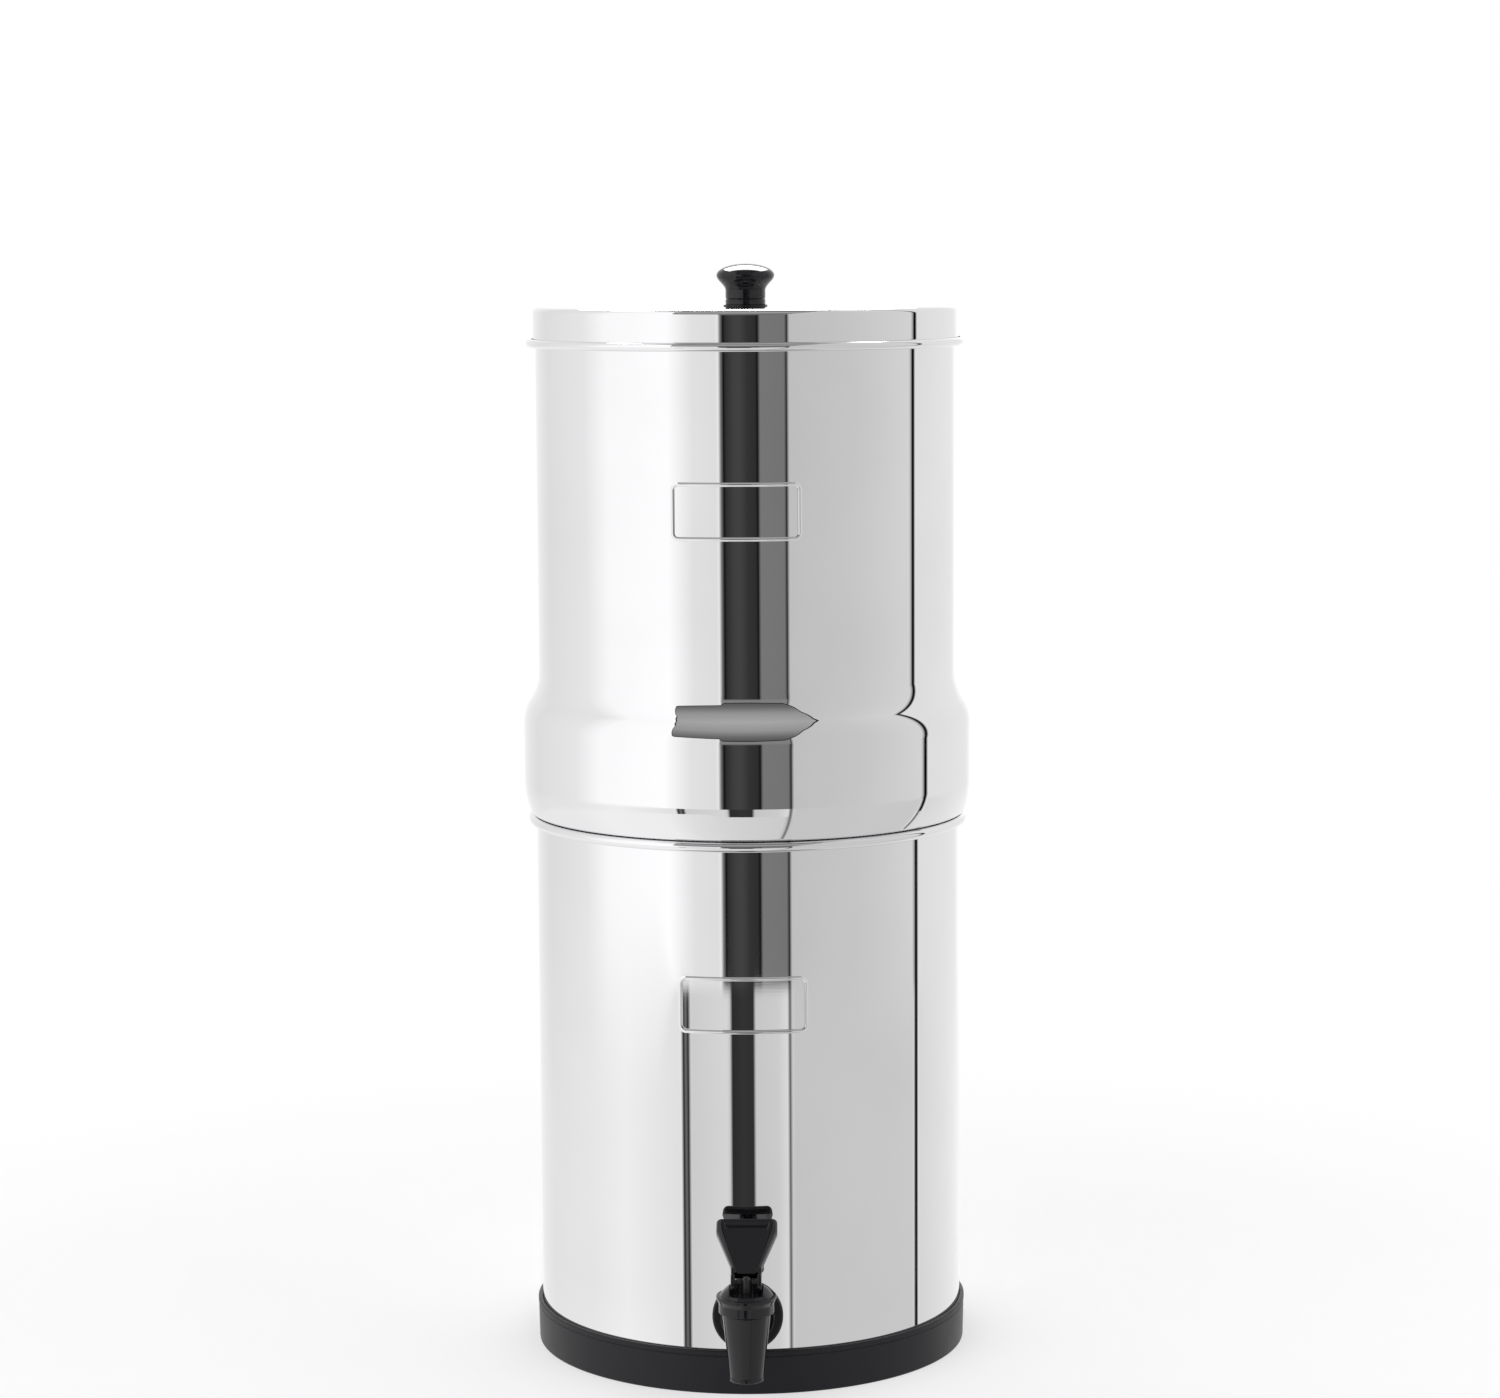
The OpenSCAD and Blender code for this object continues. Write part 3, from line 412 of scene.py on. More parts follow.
class Field:
    """A value that varies over a surface, for use in plain sums."""

    def __init__(self, board, socket):
        self.board, self.socket = board, socket

    def math(self, operation, *values):
        """A sum of these values; self isn't one of them unless it is given."""
        return self.board.field("ShaderNodeMath", 0, {"operation": operation},
                                dict(enumerate(values)))

    def __add__(self, other):
        return self.math("ADD", self, other)

    def __sub__(self, other):
        return self.math("SUBTRACT", self, other)

    def __rsub__(self, other):
        return self.math("SUBTRACT", other, self)

    def __mul__(self, other):
        return self.math("MULTIPLY", self, other)

    def __truediv__(self, other):
        return self.math("DIVIDE", self, other)

    def __neg__(self):
        return self.math("MULTIPLY", self, -1)

    __radd__ = __add__
    __rmul__ = __mul__

    def ramp(self, start, end, low=0.0, high=1.0):
        """Rises smoothly from low at start to high at end."""
        return self.board.field(
            "ShaderNodeMapRange", "Result", {"interpolation_type": "SMOOTHSTEP"},
            {"Value": self, "From Min": start, "From Max": end, "To Min": low, "To Max": high})


class Board:
    """A node tree that is emptied and wired afresh."""

    def __init__(self, tree):
        self.tree = tree
        tree.nodes.clear()

    def node(self, kind, settings=None, inputs=None):
        """Adds a node: its settings first, then the values or links of its sockets."""
        node = self.tree.nodes.new(kind)
        for key, value in (settings or {}).items():
            if key == "stops":
                self.set_stops(node.color_ramp, value)
            else:
                setattr(node, key, value)
        for key, value in (inputs or {}).items():
            if isinstance(value, Field):
                self.tree.links.new(value.socket, node.inputs[key])
            else:
                node.inputs[key].default_value = value
        return node

    def fields(self, kind, outputs, settings=None, inputs=None):
        """Adds a node and gives these of its outputs."""
        node = self.node(kind, settings, inputs)
        return [Field(self, node.outputs[output]) for output in outputs]

    def field(self, kind, output, settings=None, inputs=None):
        """Adds a node and gives one of its outputs."""
        return self.fields(kind, [output], settings, inputs)[0]

    @staticmethod
    def set_stops(ramp, stops):
        ramp.interpolation = "LINEAR"
        while len(ramp.elements) < len(stops):
            ramp.elements.new(1)
        for element, (place, level) in zip(ramp.elements, stops):
            element.position = place
            element.color = (level, level, level, 1)

    def mix(self, factor, low, high):
        """Mixes two colours."""
        return self.field("ShaderNodeMix", 2, {"data_type": "RGBA"}, {0: factor, 6: low, 7: high})

    def noise(self, place, scale, detail=2.0, rough=0.5):
        return self.field("ShaderNodeTexNoise", "Fac", inputs={
            "Vector": place, "Scale": scale, "Detail": detail, "Roughness": rough})

    def vector(self, operation, *values):
        """A sum with vectors, such as a product, a length or a dot product."""
        output = "Value" if operation in ("LENGTH", "DOT_PRODUCT") else "Vector"
        return self.field("ShaderNodeVectorMath", output, {"operation": operation},
                          dict(enumerate(values)))

    def bump(self, height, distance, over=None):
        """A normal from a height in metres times distance."""
        inputs = {"Height": height, "Distance": distance, "Strength": 1.0}
        if over:
            inputs["Normal"] = over
        return self.field("ShaderNodeBump", "Normal", inputs=inputs)

    def place(self):
        """The point on the surface, in metres in the object's own frame."""
        return self.field("ShaderNodeTexCoord", "Object")


def rgba(value, dim=1.0):
    """An opaque colour, made darker or lighter by dim."""
    return (*(min(1.0, dim * c) for c in value), 1.0)


def grey(level):
    return (level, level, level, 1.0)


def blank_material(name):
    """A new material and its empty board."""
    material = bpy.data.materials.new(name)
    material.use_nodes = True
    return material, Board(material.node_tree)


def surface(name, **inputs):
    """A material with one principled shader; underscores stand for spaces in socket names."""
    material, board = blank_material(name)
    sockets = {}
    for key, value in inputs.items():
        sockets[key.replace("_", " ")] = value(board) if callable(value) else value
    shader = board.field("ShaderNodeBsdfPrincipled", 0, inputs=sockets)
    board.node("ShaderNodeOutputMaterial", inputs={"Surface": shader})
    return material


def polished_steel(name, finishes, floor_r=0.0):
    """Mirror-polished sheet: faint smudges, polishing lines and the slow waves of rolled sheet.
    Inside a vessel, on the wall and on the floor up to floor_r, the drawn sheet is left satin."""
    polish_scale, wave_scale = (60, 60, 2600), (9, 9, 4)
    polish_depth, wave_depth = 4e-7, 4e-5
    satin_rough, satin_lines, satin_loss = 0.25, 0.2, 0.55

    def polishing(board):
        return board.noise(board.vector("MULTIPLY", board.place(), polish_scale), 1, 2)

    def inside(board):
        """1 on faces that look towards the axis and on the floor, 0 elsewhere."""
        way = board.field("ShaderNodeTexCoord", "Normal")
        level = board.vector("MULTIPLY", board.place(), (1, 1, 0))
        wall = board.vector("DOT_PRODUCT", level, way).ramp(-0.005, -0.02)
        up = board.field("ShaderNodeSeparateXYZ", 2, inputs={0: way})
        floor = up.ramp(0.7, 0.9) * board.vector("LENGTH", level).ramp(floor_r, floor_r - 0.002)
        return (wall + floor).ramp(0, 1)

    def tint(board):
        smudge = board.noise(board.place(), scale=14, detail=3).ramp(0.35, 0.75)
        return board.mix(smudge, rgba(finishes.steel), rgba(finishes.steel, 0.97))

    def rough(board):
        smudge = board.noise(board.place(), scale=9, detail=4, rough=0.6).ramp(0.45, 0.8)
        lines = polishing(board)
        bright = finishes.steel_rough + smudge * 0.03 + lines * 0.012
        satin = (lines * satin_lines + satin_rough) * inside(board) if floor_r else 0
        return bright + satin

    def normal(board):
        waves = board.noise(board.vector("MULTIPLY", board.place(), wave_scale), 1, 1)
        return board.bump(polishing(board), polish_depth, over=board.bump(waves, wave_depth))

    def metal(board):
        return 1 - satin_loss * inside(board)

    return surface(name, Base_Color=tint, Roughness=rough, Normal=normal,
                   Metallic=metal if floor_r else 1.0)


def moulded(name, base, rough, grain=700.0, depth=3e-6, mottle=0.15, **inputs):
    """Moulded plastic or rubber: fine grain, a little mottling and uneven gloss."""
    def tint(board):
        patch = board.noise(board.place(), scale=120, detail=3)
        return board.mix(patch, rgba(base, 1 - mottle), rgba(base, 1 + mottle))

    def gloss(board):
        patch = board.noise(board.place(), scale=60, detail=4, rough=0.6)
        return rough * 0.85 + patch * rough * 0.35

    def normal(board):
        return board.bump(board.noise(board.place(), scale=grain), depth)

    return surface(name, Base_Color=tint, Roughness=gloss, Normal=normal, **inputs)


def machined(name, base, rough, middle):
    """Turned metal, with rings round an upright axis through middle."""
    def rings(board):
        away = board.vector("SUBTRACT", board.place(), middle)
        reach = board.vector("LENGTH", board.vector("MULTIPLY", away, (1, 1, 0)))
        return board.field("ShaderNodeTexNoise", "Fac", {"noise_dimensions": "1D"},
                           {"W": reach * 9000, "Scale": 1.0, "Detail": 2.0})

    return surface(name, Base_Color=rgba(base), Metallic=1.0,
                   Roughness=lambda board: rough + rings(board) * 0.15,
                   Normal=lambda board: board.bump(rings(board), 2e-6))


MADE = {}


def finish(maker, name, *values, **more):
    """The finish of that name, made once."""
    if name not in MADE:
        MADE[name] = maker(name, *values, **more)
    return MADE[name]


def steel():
    return finish(polished_steel, "polished_steel", bpy.context.scene.filter_finishes)


def vessel_steel():
    return finish(polished_steel, "vessel_steel", bpy.context.scene.filter_finishes, floor_r=0.1)


def gloss_black():
    f = bpy.context.scene.filter_finishes
    return finish(moulded, "gloss_black", f.gloss_black, f.gloss_rough, grain=260, depth=2.5e-6,
                  Specular_IOR_Level=0.4)


def base_rubber():
    f = bpy.context.scene.filter_finishes
    return finish(moulded, "base_rubber", f.rubber, f.rubber_rough, grain=2600, depth=1.2e-5,
                  Specular_IOR_Level=0.25)


def washer_rubber():
    return finish(moulded, "washer_rubber", (0.007, 0.007, 0.008), 0.3, grain=1900, depth=6e-6,
                  Specular_IOR_Level=0.3)


def nylon_black():
    return finish(moulded, "black_nylon", (0.014, 0.014, 0.015), 0.3, grain=900)


# ---------------------------------------------------------------- pieces


def badge_columns(sizes, wall_r, turn_by):
    """Angles round a wall, close together where the frame's sides are."""
    half, corner, edge = sizes.badge_w / 2, sizes.badge_corner, sizes.badge_edge
    fine = np.arange(half - corner - edge, half + edge / 2, edge / 4)
    middle = np.linspace(-half + corner + edge, half - corner - edge, 25)[1:-1]
    across = np.concatenate((-fine[::-1], middle, fine))
    near = np.arcsin(across / wall_r) + turn_by
    rest = np.linspace(near[-1], near[0] + TURN, int(SEGMENTS * 0.9) + 2)[1:-1]
    return np.concatenate((near, rest))


def badge_rows(sizes, z):
    """Heights on a wall, close together where the frame's borders are."""
    half, corner, edge = sizes.badge_h / 2, sizes.badge_corner, sizes.badge_edge
    fine = np.arange(half - corner - edge, half + edge / 2, edge / 4)
    middle = np.linspace(-half + corner + edge, half - corner - edge, 8)[1:-1]
    return z + np.concatenate((-fine[::-1], middle, fine))


def smooth(x):
    return x * x * (3 - 2 * x)


def badge_press(sizes, wall_r, z, turn_by):
    """Raises the frame out of a wall, with smooth edges."""
    half_w, half_h = sizes.badge_w / 2, sizes.badge_h / 2
    edge, border = sizes.badge_edge, sizes.badge_border

    def height(u, v):
        qx = np.abs(u) - half_w + sizes.badge_corner
        qy = np.abs(v) - half_h + sizes.badge_corner
        out = np.hypot(np.maximum(qx, 0), np.maximum(qy, 0)) + np.minimum(np.maximum(qx, qy), 0)
        depth = sizes.badge_corner - out
        rise = np.clip(depth / edge, 0, 1)
        fall = np.clip((border - depth) / edge, 0, 1)
        return sizes.badge_rise * smooth(rise) * smooth(fall)

    def press(points, normals):
        angle = np.arctan2(points[:, 0], -points[:, 1]) - turn_by
        reach = np.hypot(points[:, 0], points[:, 1])
        v = points[:, 2] - z
        on = (np.abs(reach - wall_r) < 1e-7) & (np.cos(angle) > 0.9) & (np.abs(v) < half_h + edge)
        on &= (normals[:, 0] * points[:, 0] + normals[:, 1] * points[:, 1]) > 0
        u = np.sin(angle) * wall_r
        h = np.where(on, height(u, v), 0)
        tiny = edge / 50
        du = (height(u + tiny, v) - height(u - tiny, v)) / (2 * tiny) * np.cos(angle)
        dv = (height(u, v + tiny) - height(u, v - tiny)) / (2 * tiny)
        out = points * np.array((1, 1, 0)) / reach.clip(1e-9)[:, None]
        side = np.stack((-out[:, 1], out[:, 0], 0 * u), -1)
        up = np.array((0, 0, 1))
        tilted = out - side * du[:, None] - up * dv[:, None]
        return points + out * h[:, None], np.where(on[:, None], tilted, normals)

    return press


def lower_outline(c, depth, hollow):
    """The lower chamber's sheet at a depth below its outer surface."""
    curl = c.rim_bead / 2
    inner = c.lower_r - c.lower_sheet
    return (
        [(0, c.lower_z + depth, 0, 1 if hollow else -1)]
        + arc(c.lower_r - c.lower_corner, c.lower_z + c.lower_corner, c.lower_corner - depth,
              -90, 0, 10, hollow)
        + ([] if hollow else [(c.lower_r, z, 1, 0) for z in badge_rows(c, c.badge_low_z)])
        + arc(inner + curl, c.rim_z - curl, curl - c.lower_sheet + depth, 180, -110, 40, not hollow)
    )


def upper_outline(c, depth, hollow):
    """The upper chamber's sheet at a depth below its outer surface."""
    tuck_r = c.shelf_corner + (c.tuck_h - c.shelf_corner) / math.sin(c.tuck_turn)
    bulge_out = c.bulge_r - c.upper_r
    flare_r = (c.flare_h ** 2 + bulge_out ** 2) / (4 * bulge_out)
    flare_turn = math.degrees(math.asin(c.flare_h / (2 * flare_r)))
    tuck_turn = math.degrees(c.tuck_turn)
    band_z = c.shelf_z + c.tuck_h
    flare_z = band_z + c.band_h
    floor_z = c.shelf_z - c.plug_h
    down = 1 if hollow else -1
    return (
        [(0, floor_z + depth, 0, down)]
        + arc(c.upper_r - c.plug_corner, floor_z + c.plug_corner, c.plug_corner - depth,
              -90, 0, 10, hollow)
        + [(c.upper_r - depth, c.shelf_z + depth)]
        + arc(c.bulge_r - tuck_r + (tuck_r - c.shelf_corner) * math.cos(c.tuck_turn),
              c.shelf_z + c.shelf_corner, c.shelf_corner - depth, -90, -tuck_turn, 8, hollow)
        + arc(c.bulge_r - tuck_r, band_z, tuck_r - depth, -tuck_turn, 0, 10, hollow)
        + arc(c.bulge_r - flare_r, flare_z, flare_r - depth, 0, flare_turn, 14, hollow)
        + arc(c.upper_r + flare_r, flare_z + c.flare_h, flare_r + depth, 180 + flare_turn, 180, 14,
              not hollow)
        + ([] if hollow else [(c.upper_r, z, 1, 0) for z in badge_rows(c, c.badge_high_z)])
    )


def lid_outline(t, top_z, depth, hollow):
    """The lid's sheet at a depth below its outer surface, from its middle to its rolled edge."""
    lid_r = t.lid_ir + t.sheet
    curl = t.bead / 2
    bead_z = top_z - t.lid_h + curl
    line = (
        [(0, top_z - depth, 0, 1)]
        + arc(lid_r - t.edge, top_z - t.edge, t.edge - depth, 90, 0, 12)
        + arc(t.lid_ir + curl, bead_z, curl - t.sheet + depth, 180, 470, 40, True)
    )
    return [(r, z, -nr, -nz) for r, z, nr, nz in line] if hollow else line


class FilterOperator(Operator):
    """Shared options of the operators"""
    bl_options = {"REGISTER", "UNDO"}


class MakeBaseRing(FilterOperator):
    """Make the rubber ring that the lower chamber stands in"""
    bl_idname = "water_filter.base_ring"
    bl_label = "Base ring"

    def execute(self, context):
        b = context.scene.filter_base
        top_r = b.inner_r + b.wall
        groove_z = b.h - b.lip_h
        outline = rounded(
            (b.foot_r, b.foot, 0), (b.foot_r, 0, 0.0006), (top_r - b.taper, 0, 0.001),
            (top_r - b.taper / 4, groove_z - 2 * b.groove, 0.0003),
            (top_r - b.groove, groove_z - b.groove, 0.0002), (top_r, groove_z, 0.0002),
            (top_r, b.h, 0.0008), (b.inner_r, b.h, 0.0004), (b.inner_r, b.foot, 0),
            (b.foot_r, b.foot, 0),
        )
        finished(Shell().turned(outline).made("base_ring_rubber"), "lower_unit", "base_rubber",
                 base_rubber(), "base_ring")
        return {"FINISHED"}


class MakeLowerChamber(FilterOperator):
    """Make the lower chamber with its rolled rim and its badge frame"""
    bl_idname = "water_filter.lower_chamber"
    bl_label = "Lower chamber"

    def execute(self, context):
        c = context.scene.filter_chambers
        outline = lower_outline(c, 0, False) + lower_outline(c, c.lower_sheet, True)[::-1]
        press = badge_press(c, c.lower_r, c.badge_low_z, c.badge_low_turn)
        shell = Shell().turned(outline, badge_columns(c, c.lower_r, c.badge_low_turn), press=press)
        finished(shell.made("lower_chamber_steel"), "lower_unit", "polished_steel", vessel_steel(),
                 "lower_chamber")
        return {"FINISHED"}


class MakeUpperChamber(FilterOperator):
    """Make the upper chamber with its bulge, its folded edge and its badge frame"""
    bl_idname = "water_filter.upper_chamber"
    bl_label = "Upper chamber"

    def execute(self, context):
        c = context.scene.filter_chambers
        t = c.upper_sheet
        edge_r = c.upper_r - t
        fold = arc(edge_r, c.upper_rim_z - t, t, 0, 180, 12)
        hem_foot = c.upper_rim_z - c.hem
        fold += [(edge_r - t, hem_foot), (edge_r, hem_foot)]
        outline = upper_outline(c, 0, False) + fold + upper_outline(c, t, True)[::-1]
        press = badge_press(c, c.upper_r, c.badge_high_z, c.badge_high_turn)
        shell = Shell().turned(outline, badge_columns(c, c.upper_r, c.badge_high_turn), press=press)
        finished(shell.made("upper_chamber_steel"), "upper_unit", "polished_steel", vessel_steel(),
                 "upper_chamber")
        return {"FINISHED"}


class MakeLid(FilterOperator):
    """Make the lid with its rolled edge"""
    bl_idname = "water_filter.lid"
    bl_label = "Lid"

    def execute(self, context):
        t = context.scene.filter_top
        top_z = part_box("lid")[1][2]
        outline = lid_outline(t, top_z, 0, False)[::-1] + lid_outline(t, top_z, t.sheet, True)
        finished(Shell().turned(outline).made("lid_steel"), "lid_unit", "polished_steel", steel(),
                 "lid")
        return {"FINISHED"}


class MakeKnob(FilterOperator):
    """Make the lid's knob"""
    bl_idname = "water_filter.knob"
    bl_label = "Knob"

    def execute(self, context):
        t = context.scene.filter_top
        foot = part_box("lid_knob")[0][2]
        foot_line = rounded(
            (0, 0, 0), (t.neck_r, 0, 0.0003), (t.neck_r, t.collar_h, 0.0002),
            (t.neck_r - t.groove, t.collar_h + t.groove, 0.0002),
            (t.neck_r, t.collar_h + 2 * t.groove, 0.0002), (t.neck_r, t.neck_z, 0),
        )
        reach, rise = t.knob_r - t.neck_r, t.knob_wide_z - t.neck_z
        flare, dome = [], []
        for a in np.radians(np.linspace(0, 90, 25)):
            side = Vector((rise, -reach * math.pi / 2 * math.sin(2 * a))).normalized()
            flare.append((t.neck_r + reach * math.sin(a) ** 2, t.neck_z + rise * 2 * a / math.pi,
                          side.x, side.y))
            side = Vector((math.cos(a) / t.knob_r, math.sin(a) / t.dome_h)).normalized()
            dome.append((t.knob_r * math.cos(a), t.knob_wide_z + t.dome_h * math.sin(a),
                         side.x, side.y))
        outline = foot_line[:-1] + flare + dome
        place = Matrix.Translation((0, 0, foot))
        finished(Shell().turned(outline, place=place).made("knob_gloss"), "lid_unit", "gloss_black",
                 gloss_black(), "lid_knob")
        return {"FINISHED"}


def blend_collar(t, steps=8, around=72):
    """The rounded join between the tap's upright body and the arm behind it."""
    slope = (t.shoulder_r - t.mouth_r) / (t.shoulder_z - t.mouth_z)

    def on_body(reach, a):
        x, z = reach * math.cos(a), t.z + reach * math.sin(a)
        body_r = t.mouth_r + slope * (z - t.mouth_z)
        return Vector((x, -t.y + math.sqrt(body_r ** 2 - x ** 2), z))

    points, normals, faces = [], [], []
    for a in np.linspace(0, TURN, around, endpoint=False):
        meet = on_body(t.arm_r, a)
        start = meet + Vector((0, t.arm_fillet, 0))
        end = on_body(t.arm_r + t.arm_fillet, a)
        spoke = Vector((math.cos(a), 0, math.sin(a)))
        around_arm = Vector((-math.sin(a), 0, math.cos(a)))
        for k in range(steps + 1):
            s = k / steps
            points.append((1 - s) ** 2 * start + 2 * s * (1 - s) * meet + s * s * end)
            run = 2 * (1 - s) * (meet - start) + 2 * s * (end - meet)
            normal = run.cross(around_arm).normalized()
            normals.append(normal if normal.dot(spoke + Vector((0, 1, 0))) > 0 else -normal)
    ring = steps + 1
    for j in range(around):
        k = (j + 1) % around
        for i in range(steps):
            faces.append((j * ring + i, j * ring + i + 1, k * ring + i + 1, k * ring + i))
    return points, normals, faces


class MakeTapBody(FilterOperator):
    """Make the tap's body with its spout, arm, flange and shank, and the washer behind it"""
    bl_idname = "water_filter.tap_body"
    bl_label = "Tap body and washer"

    def execute(self, context):
        t = context.scene.filter_tap
        wall_y = context.scene.filter_chambers.lower_r
        # The mouth's visible depth, and how far the neck and the arm run on inside other pieces.
        bore, hidden = 0.008, 0.004
        low, high = t.mouth_z, t.bonnet_z + hidden
        neck_r = t.bonnet_r - t.bonnet_wall
        body = rounded(
            (0, low + bore, 0), (t.mouth_bore_r, low + bore, 0.0004), (t.mouth_bore_r, low, 0.0005),
            (t.mouth_r + t.lip, low, 0.0005), (t.mouth_r + t.lip, low + t.lip_h, 0.0004),
            (t.mouth_r + 0.0001, low + t.lip_h + t.lip, 0.0004),
            (t.shoulder_r, t.shoulder_z, 0.0004), (neck_r, t.shoulder_z, 0), (neck_r, high, 0),
            (0, high, 0),
        )
        at_tap = Matrix.Translation((0, -t.y, 0))
        along = Matrix.Translation((0, 0, t.z)) @ Matrix.Rotation(-math.pi / 2, 4, "X")
        face = -(wall_y + t.washer_t)
        start, end = -t.y + hidden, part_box("tap_body")[1][1]
        arm = rounded(
            (0, start, 0), (t.arm_r, start, 0), (t.arm_r, face - t.flange_t, 0.0008),
            (t.flange_r, face - t.flange_t, 0.0007), (t.flange_r, face, 0.0003),
            (t.shank_r, face, 0), (t.shank_r, end, 0.0008), (0, end, 0),
        )
        shell = Shell().turned(body, place=at_tap).turned(arm, place=along).add(*blend_collar(t))
        finished(shell.made("tap_body_gloss"), "lower_unit", "gloss_black", gloss_black(),
                 "tap_body")
        # The washer's back lies against the round wall, which falls away towards the washer's edge.
        falls = 0.0016
        washer = rounded(
            (t.shank_r, face, 0), (t.washer_r, face, 0.0012), (t.washer_r, -wall_y + falls, 0),
            (t.shank_r, -wall_y + 0.0001, 0), (t.shank_r, face, 0),
        )
        piece = Shell().turned(washer, place=along).made("tap_washer_rubber")
        finished(piece, "lower_unit", "washer_rubber", washer_rubber(), "tap_outer_washer")
        return {"FINISHED"}


def bonnet_dome(t):
    """Radius of the bonnet's dome at its foot, and of the sphere that it is cut from."""
    foot_r = t.ring_r - t.ledge
    return foot_r, (foot_r ** 2 + t.dome_h ** 2) / (2 * t.dome_h)


def bonnet_cheek(t, side, steps=24):
    """The part of the bonnet's dome on one side of the fork's slot, with a rounded inner edge."""
    foot_r, dome_r = bonnet_dome(t)
    middle_z = t.bonnet_top_z + t.dome_h - dome_r
    e = t.cheek_edge
    rows = []
    for a in np.radians(np.linspace(90, 0, 6)):
        reach = math.sqrt(dome_r ** 2 - (t.slot_wall + e) ** 2)
        rows.append((t.slot_wall + e - e * math.sin(a), reach - e + e * math.cos(a), -math.sin(a)))
    for x in np.linspace(t.slot_wall + e, foot_r - 1e-5, 14)[1:]:
        rows.append((x, math.sqrt(dome_r ** 2 - x * x), x / dome_r))
    points, normals, faces = [], [], []
    for x, reach, lean in rows:
        half = math.acos(min((t.bonnet_top_z - middle_z) / reach, 1))
        for a in np.linspace(-half, half, steps + 1):
            points.append((side * x, reach * math.sin(a), middle_z + reach * math.cos(a)))
            flat = math.sqrt(1 - lean * lean)
            normals.append((side * lean, flat * math.sin(a), flat * math.cos(a)))
    ring = steps + 1
    for i in range(len(rows) - 1):
        for j in range(steps):
            face = (i * ring + j, (i + 1) * ring + j, (i + 1) * ring + j + 1, i * ring + j + 1)
            faces.append(face if side > 0 else face[::-1])
    start = len(points)
    points += points[:ring]
    normals += [(-side, 0, 0)] * ring
    wall = tuple(range(start, start + ring))
    faces.append(wall if side > 0 else wall[::-1])
    return points, normals, faces


class MakeTapBonnet(FilterOperator):
    """Make the tap's bonnet, with the slot that the lever's fork stands in"""
    bl_idname = "water_filter.tap_bonnet"
    bl_label = "Tap bonnet"

    def execute(self, context):
        t = context.scene.filter_tap
        ring_z = t.bonnet_top_z - t.ring_h
        under = t.bonnet_top_z - t.bonnet_top_t
        inner = t.bonnet_r - t.bonnet_wall
        foot_r, dome_r = bonnet_dome(t)
        floor_r = math.sqrt(dome_r ** 2 - (dome_r - t.dome_h + t.slot_z - t.bonnet_top_z) ** 2)
        outline = rounded(
            (t.bonnet_bore_r, under, 0), (inner, under, 0), (inner, t.bonnet_z, 0),
            (t.bonnet_r, t.bonnet_z, 0.0005), (t.bonnet_r, ring_z - t.bevel_h, 0.0008),
            (t.ring_r, ring_z, 0.0005), (t.ring_r, t.bonnet_top_z, 0.0005),
            (foot_r, t.bonnet_top_z, 0.0001), (floor_r, t.slot_z, 0.0003),
            (t.bonnet_bore_r, t.slot_z, 0.0002), (t.bonnet_bore_r, under, 0),
        )
        place = Matrix.Translation((0, -t.y, 0))
        shell = Shell().turned(outline, place=place)
        for side in (-1, 1):
            shell.add(*bonnet_cheek(t, side), place)
        finished(shell.made("tap_bonnet_gloss"), "lower_unit", "gloss_black", gloss_black(),
                 "tap_bonnet")
        return {"FINISHED"}


def paddle_ring(low, high, side_z, top_z, radius):
    """Outline round the pin, with sides that spread from low to high and round top corners."""
    line = [(low, 0), (high, side_z)]
    for a in np.radians(np.linspace(0, 90, 7)):
        line.append((high - radius + radius * math.cos(a), top_z - radius + radius * math.sin(a)))
    return line + [(-x, z) for x, z in reversed(line)]


def lever_paddle(t, steps=8):
    """Points and faces of the paddle: round flanks, a narrow crest and a sunk panel."""
    front, back = -t.lever_t / 2, t.lever_t / 2
    side_z = t.lever_len - t.lever_side
    top_z = t.lever_len - t.brow
    outer = paddle_ring(t.lever_low_w / 2, t.lever_w / 2, side_z, t.lever_len, t.lever_corner)
    inner = paddle_ring(t.panel_low_w / 2 + t.step / 2, t.panel_w / 2 + t.step, side_z, top_z,
                        t.lever_corner / 2)
    floor = paddle_ring(t.panel_low_w / 2, t.panel_w / 2, side_z, top_z - t.bank,
                        t.lever_corner / 2)
    levels = [(0, back)]
    for a in np.radians(np.linspace(0, 90, steps)):
        levels.append((t.flank * (1 - math.cos(a)), front + t.flank_depth * (1 - math.sin(a))))
    levels.append((t.flank + t.crest, front))
    work = bmesh.new()
    rings = []
    for part, y in levels:
        rings.append([work.verts.new((x0 + (x1 - x0) * part, y, z0 + (z1 - z0) * part))
                      for (x0, z0), (x1, z1) in zip(outer, inner)])
    rings.append([work.verts.new((x, front + t.panel_depth, z)) for x, z in floor])
    count = len(outer)
    for low, high in zip(rings, rings[1:]):
        for j in range(count):
            k = (j + 1) % count
            work.faces.new((low[j], low[k], high[k], high[j]))
    work.faces.new(reversed(rings[0]))
    work.faces.new(rings[-1])
    everything = work.verts[:] + work.edges[:] + work.faces[:]
    cut = bmesh.ops.bisect_plane(work, geom=everything, plane_co=(0, 0, t.web_r),
                                 plane_no=(0, 0, 1), clear_inner=True)
    rim = [item for item in cut["geom_cut"] if isinstance(item, bmesh.types.BMEdge)]
    bmesh.ops.edgeloop_fill(work, edges=rim)
    bmesh.ops.recalc_face_normals(work, faces=work.faces)
    work.verts.index_update()
    points = [tuple(v.co) for v in work.verts]
    faces = [[v.index for v in face.verts] for face in work.faces]
    work.free()
    return points, faces


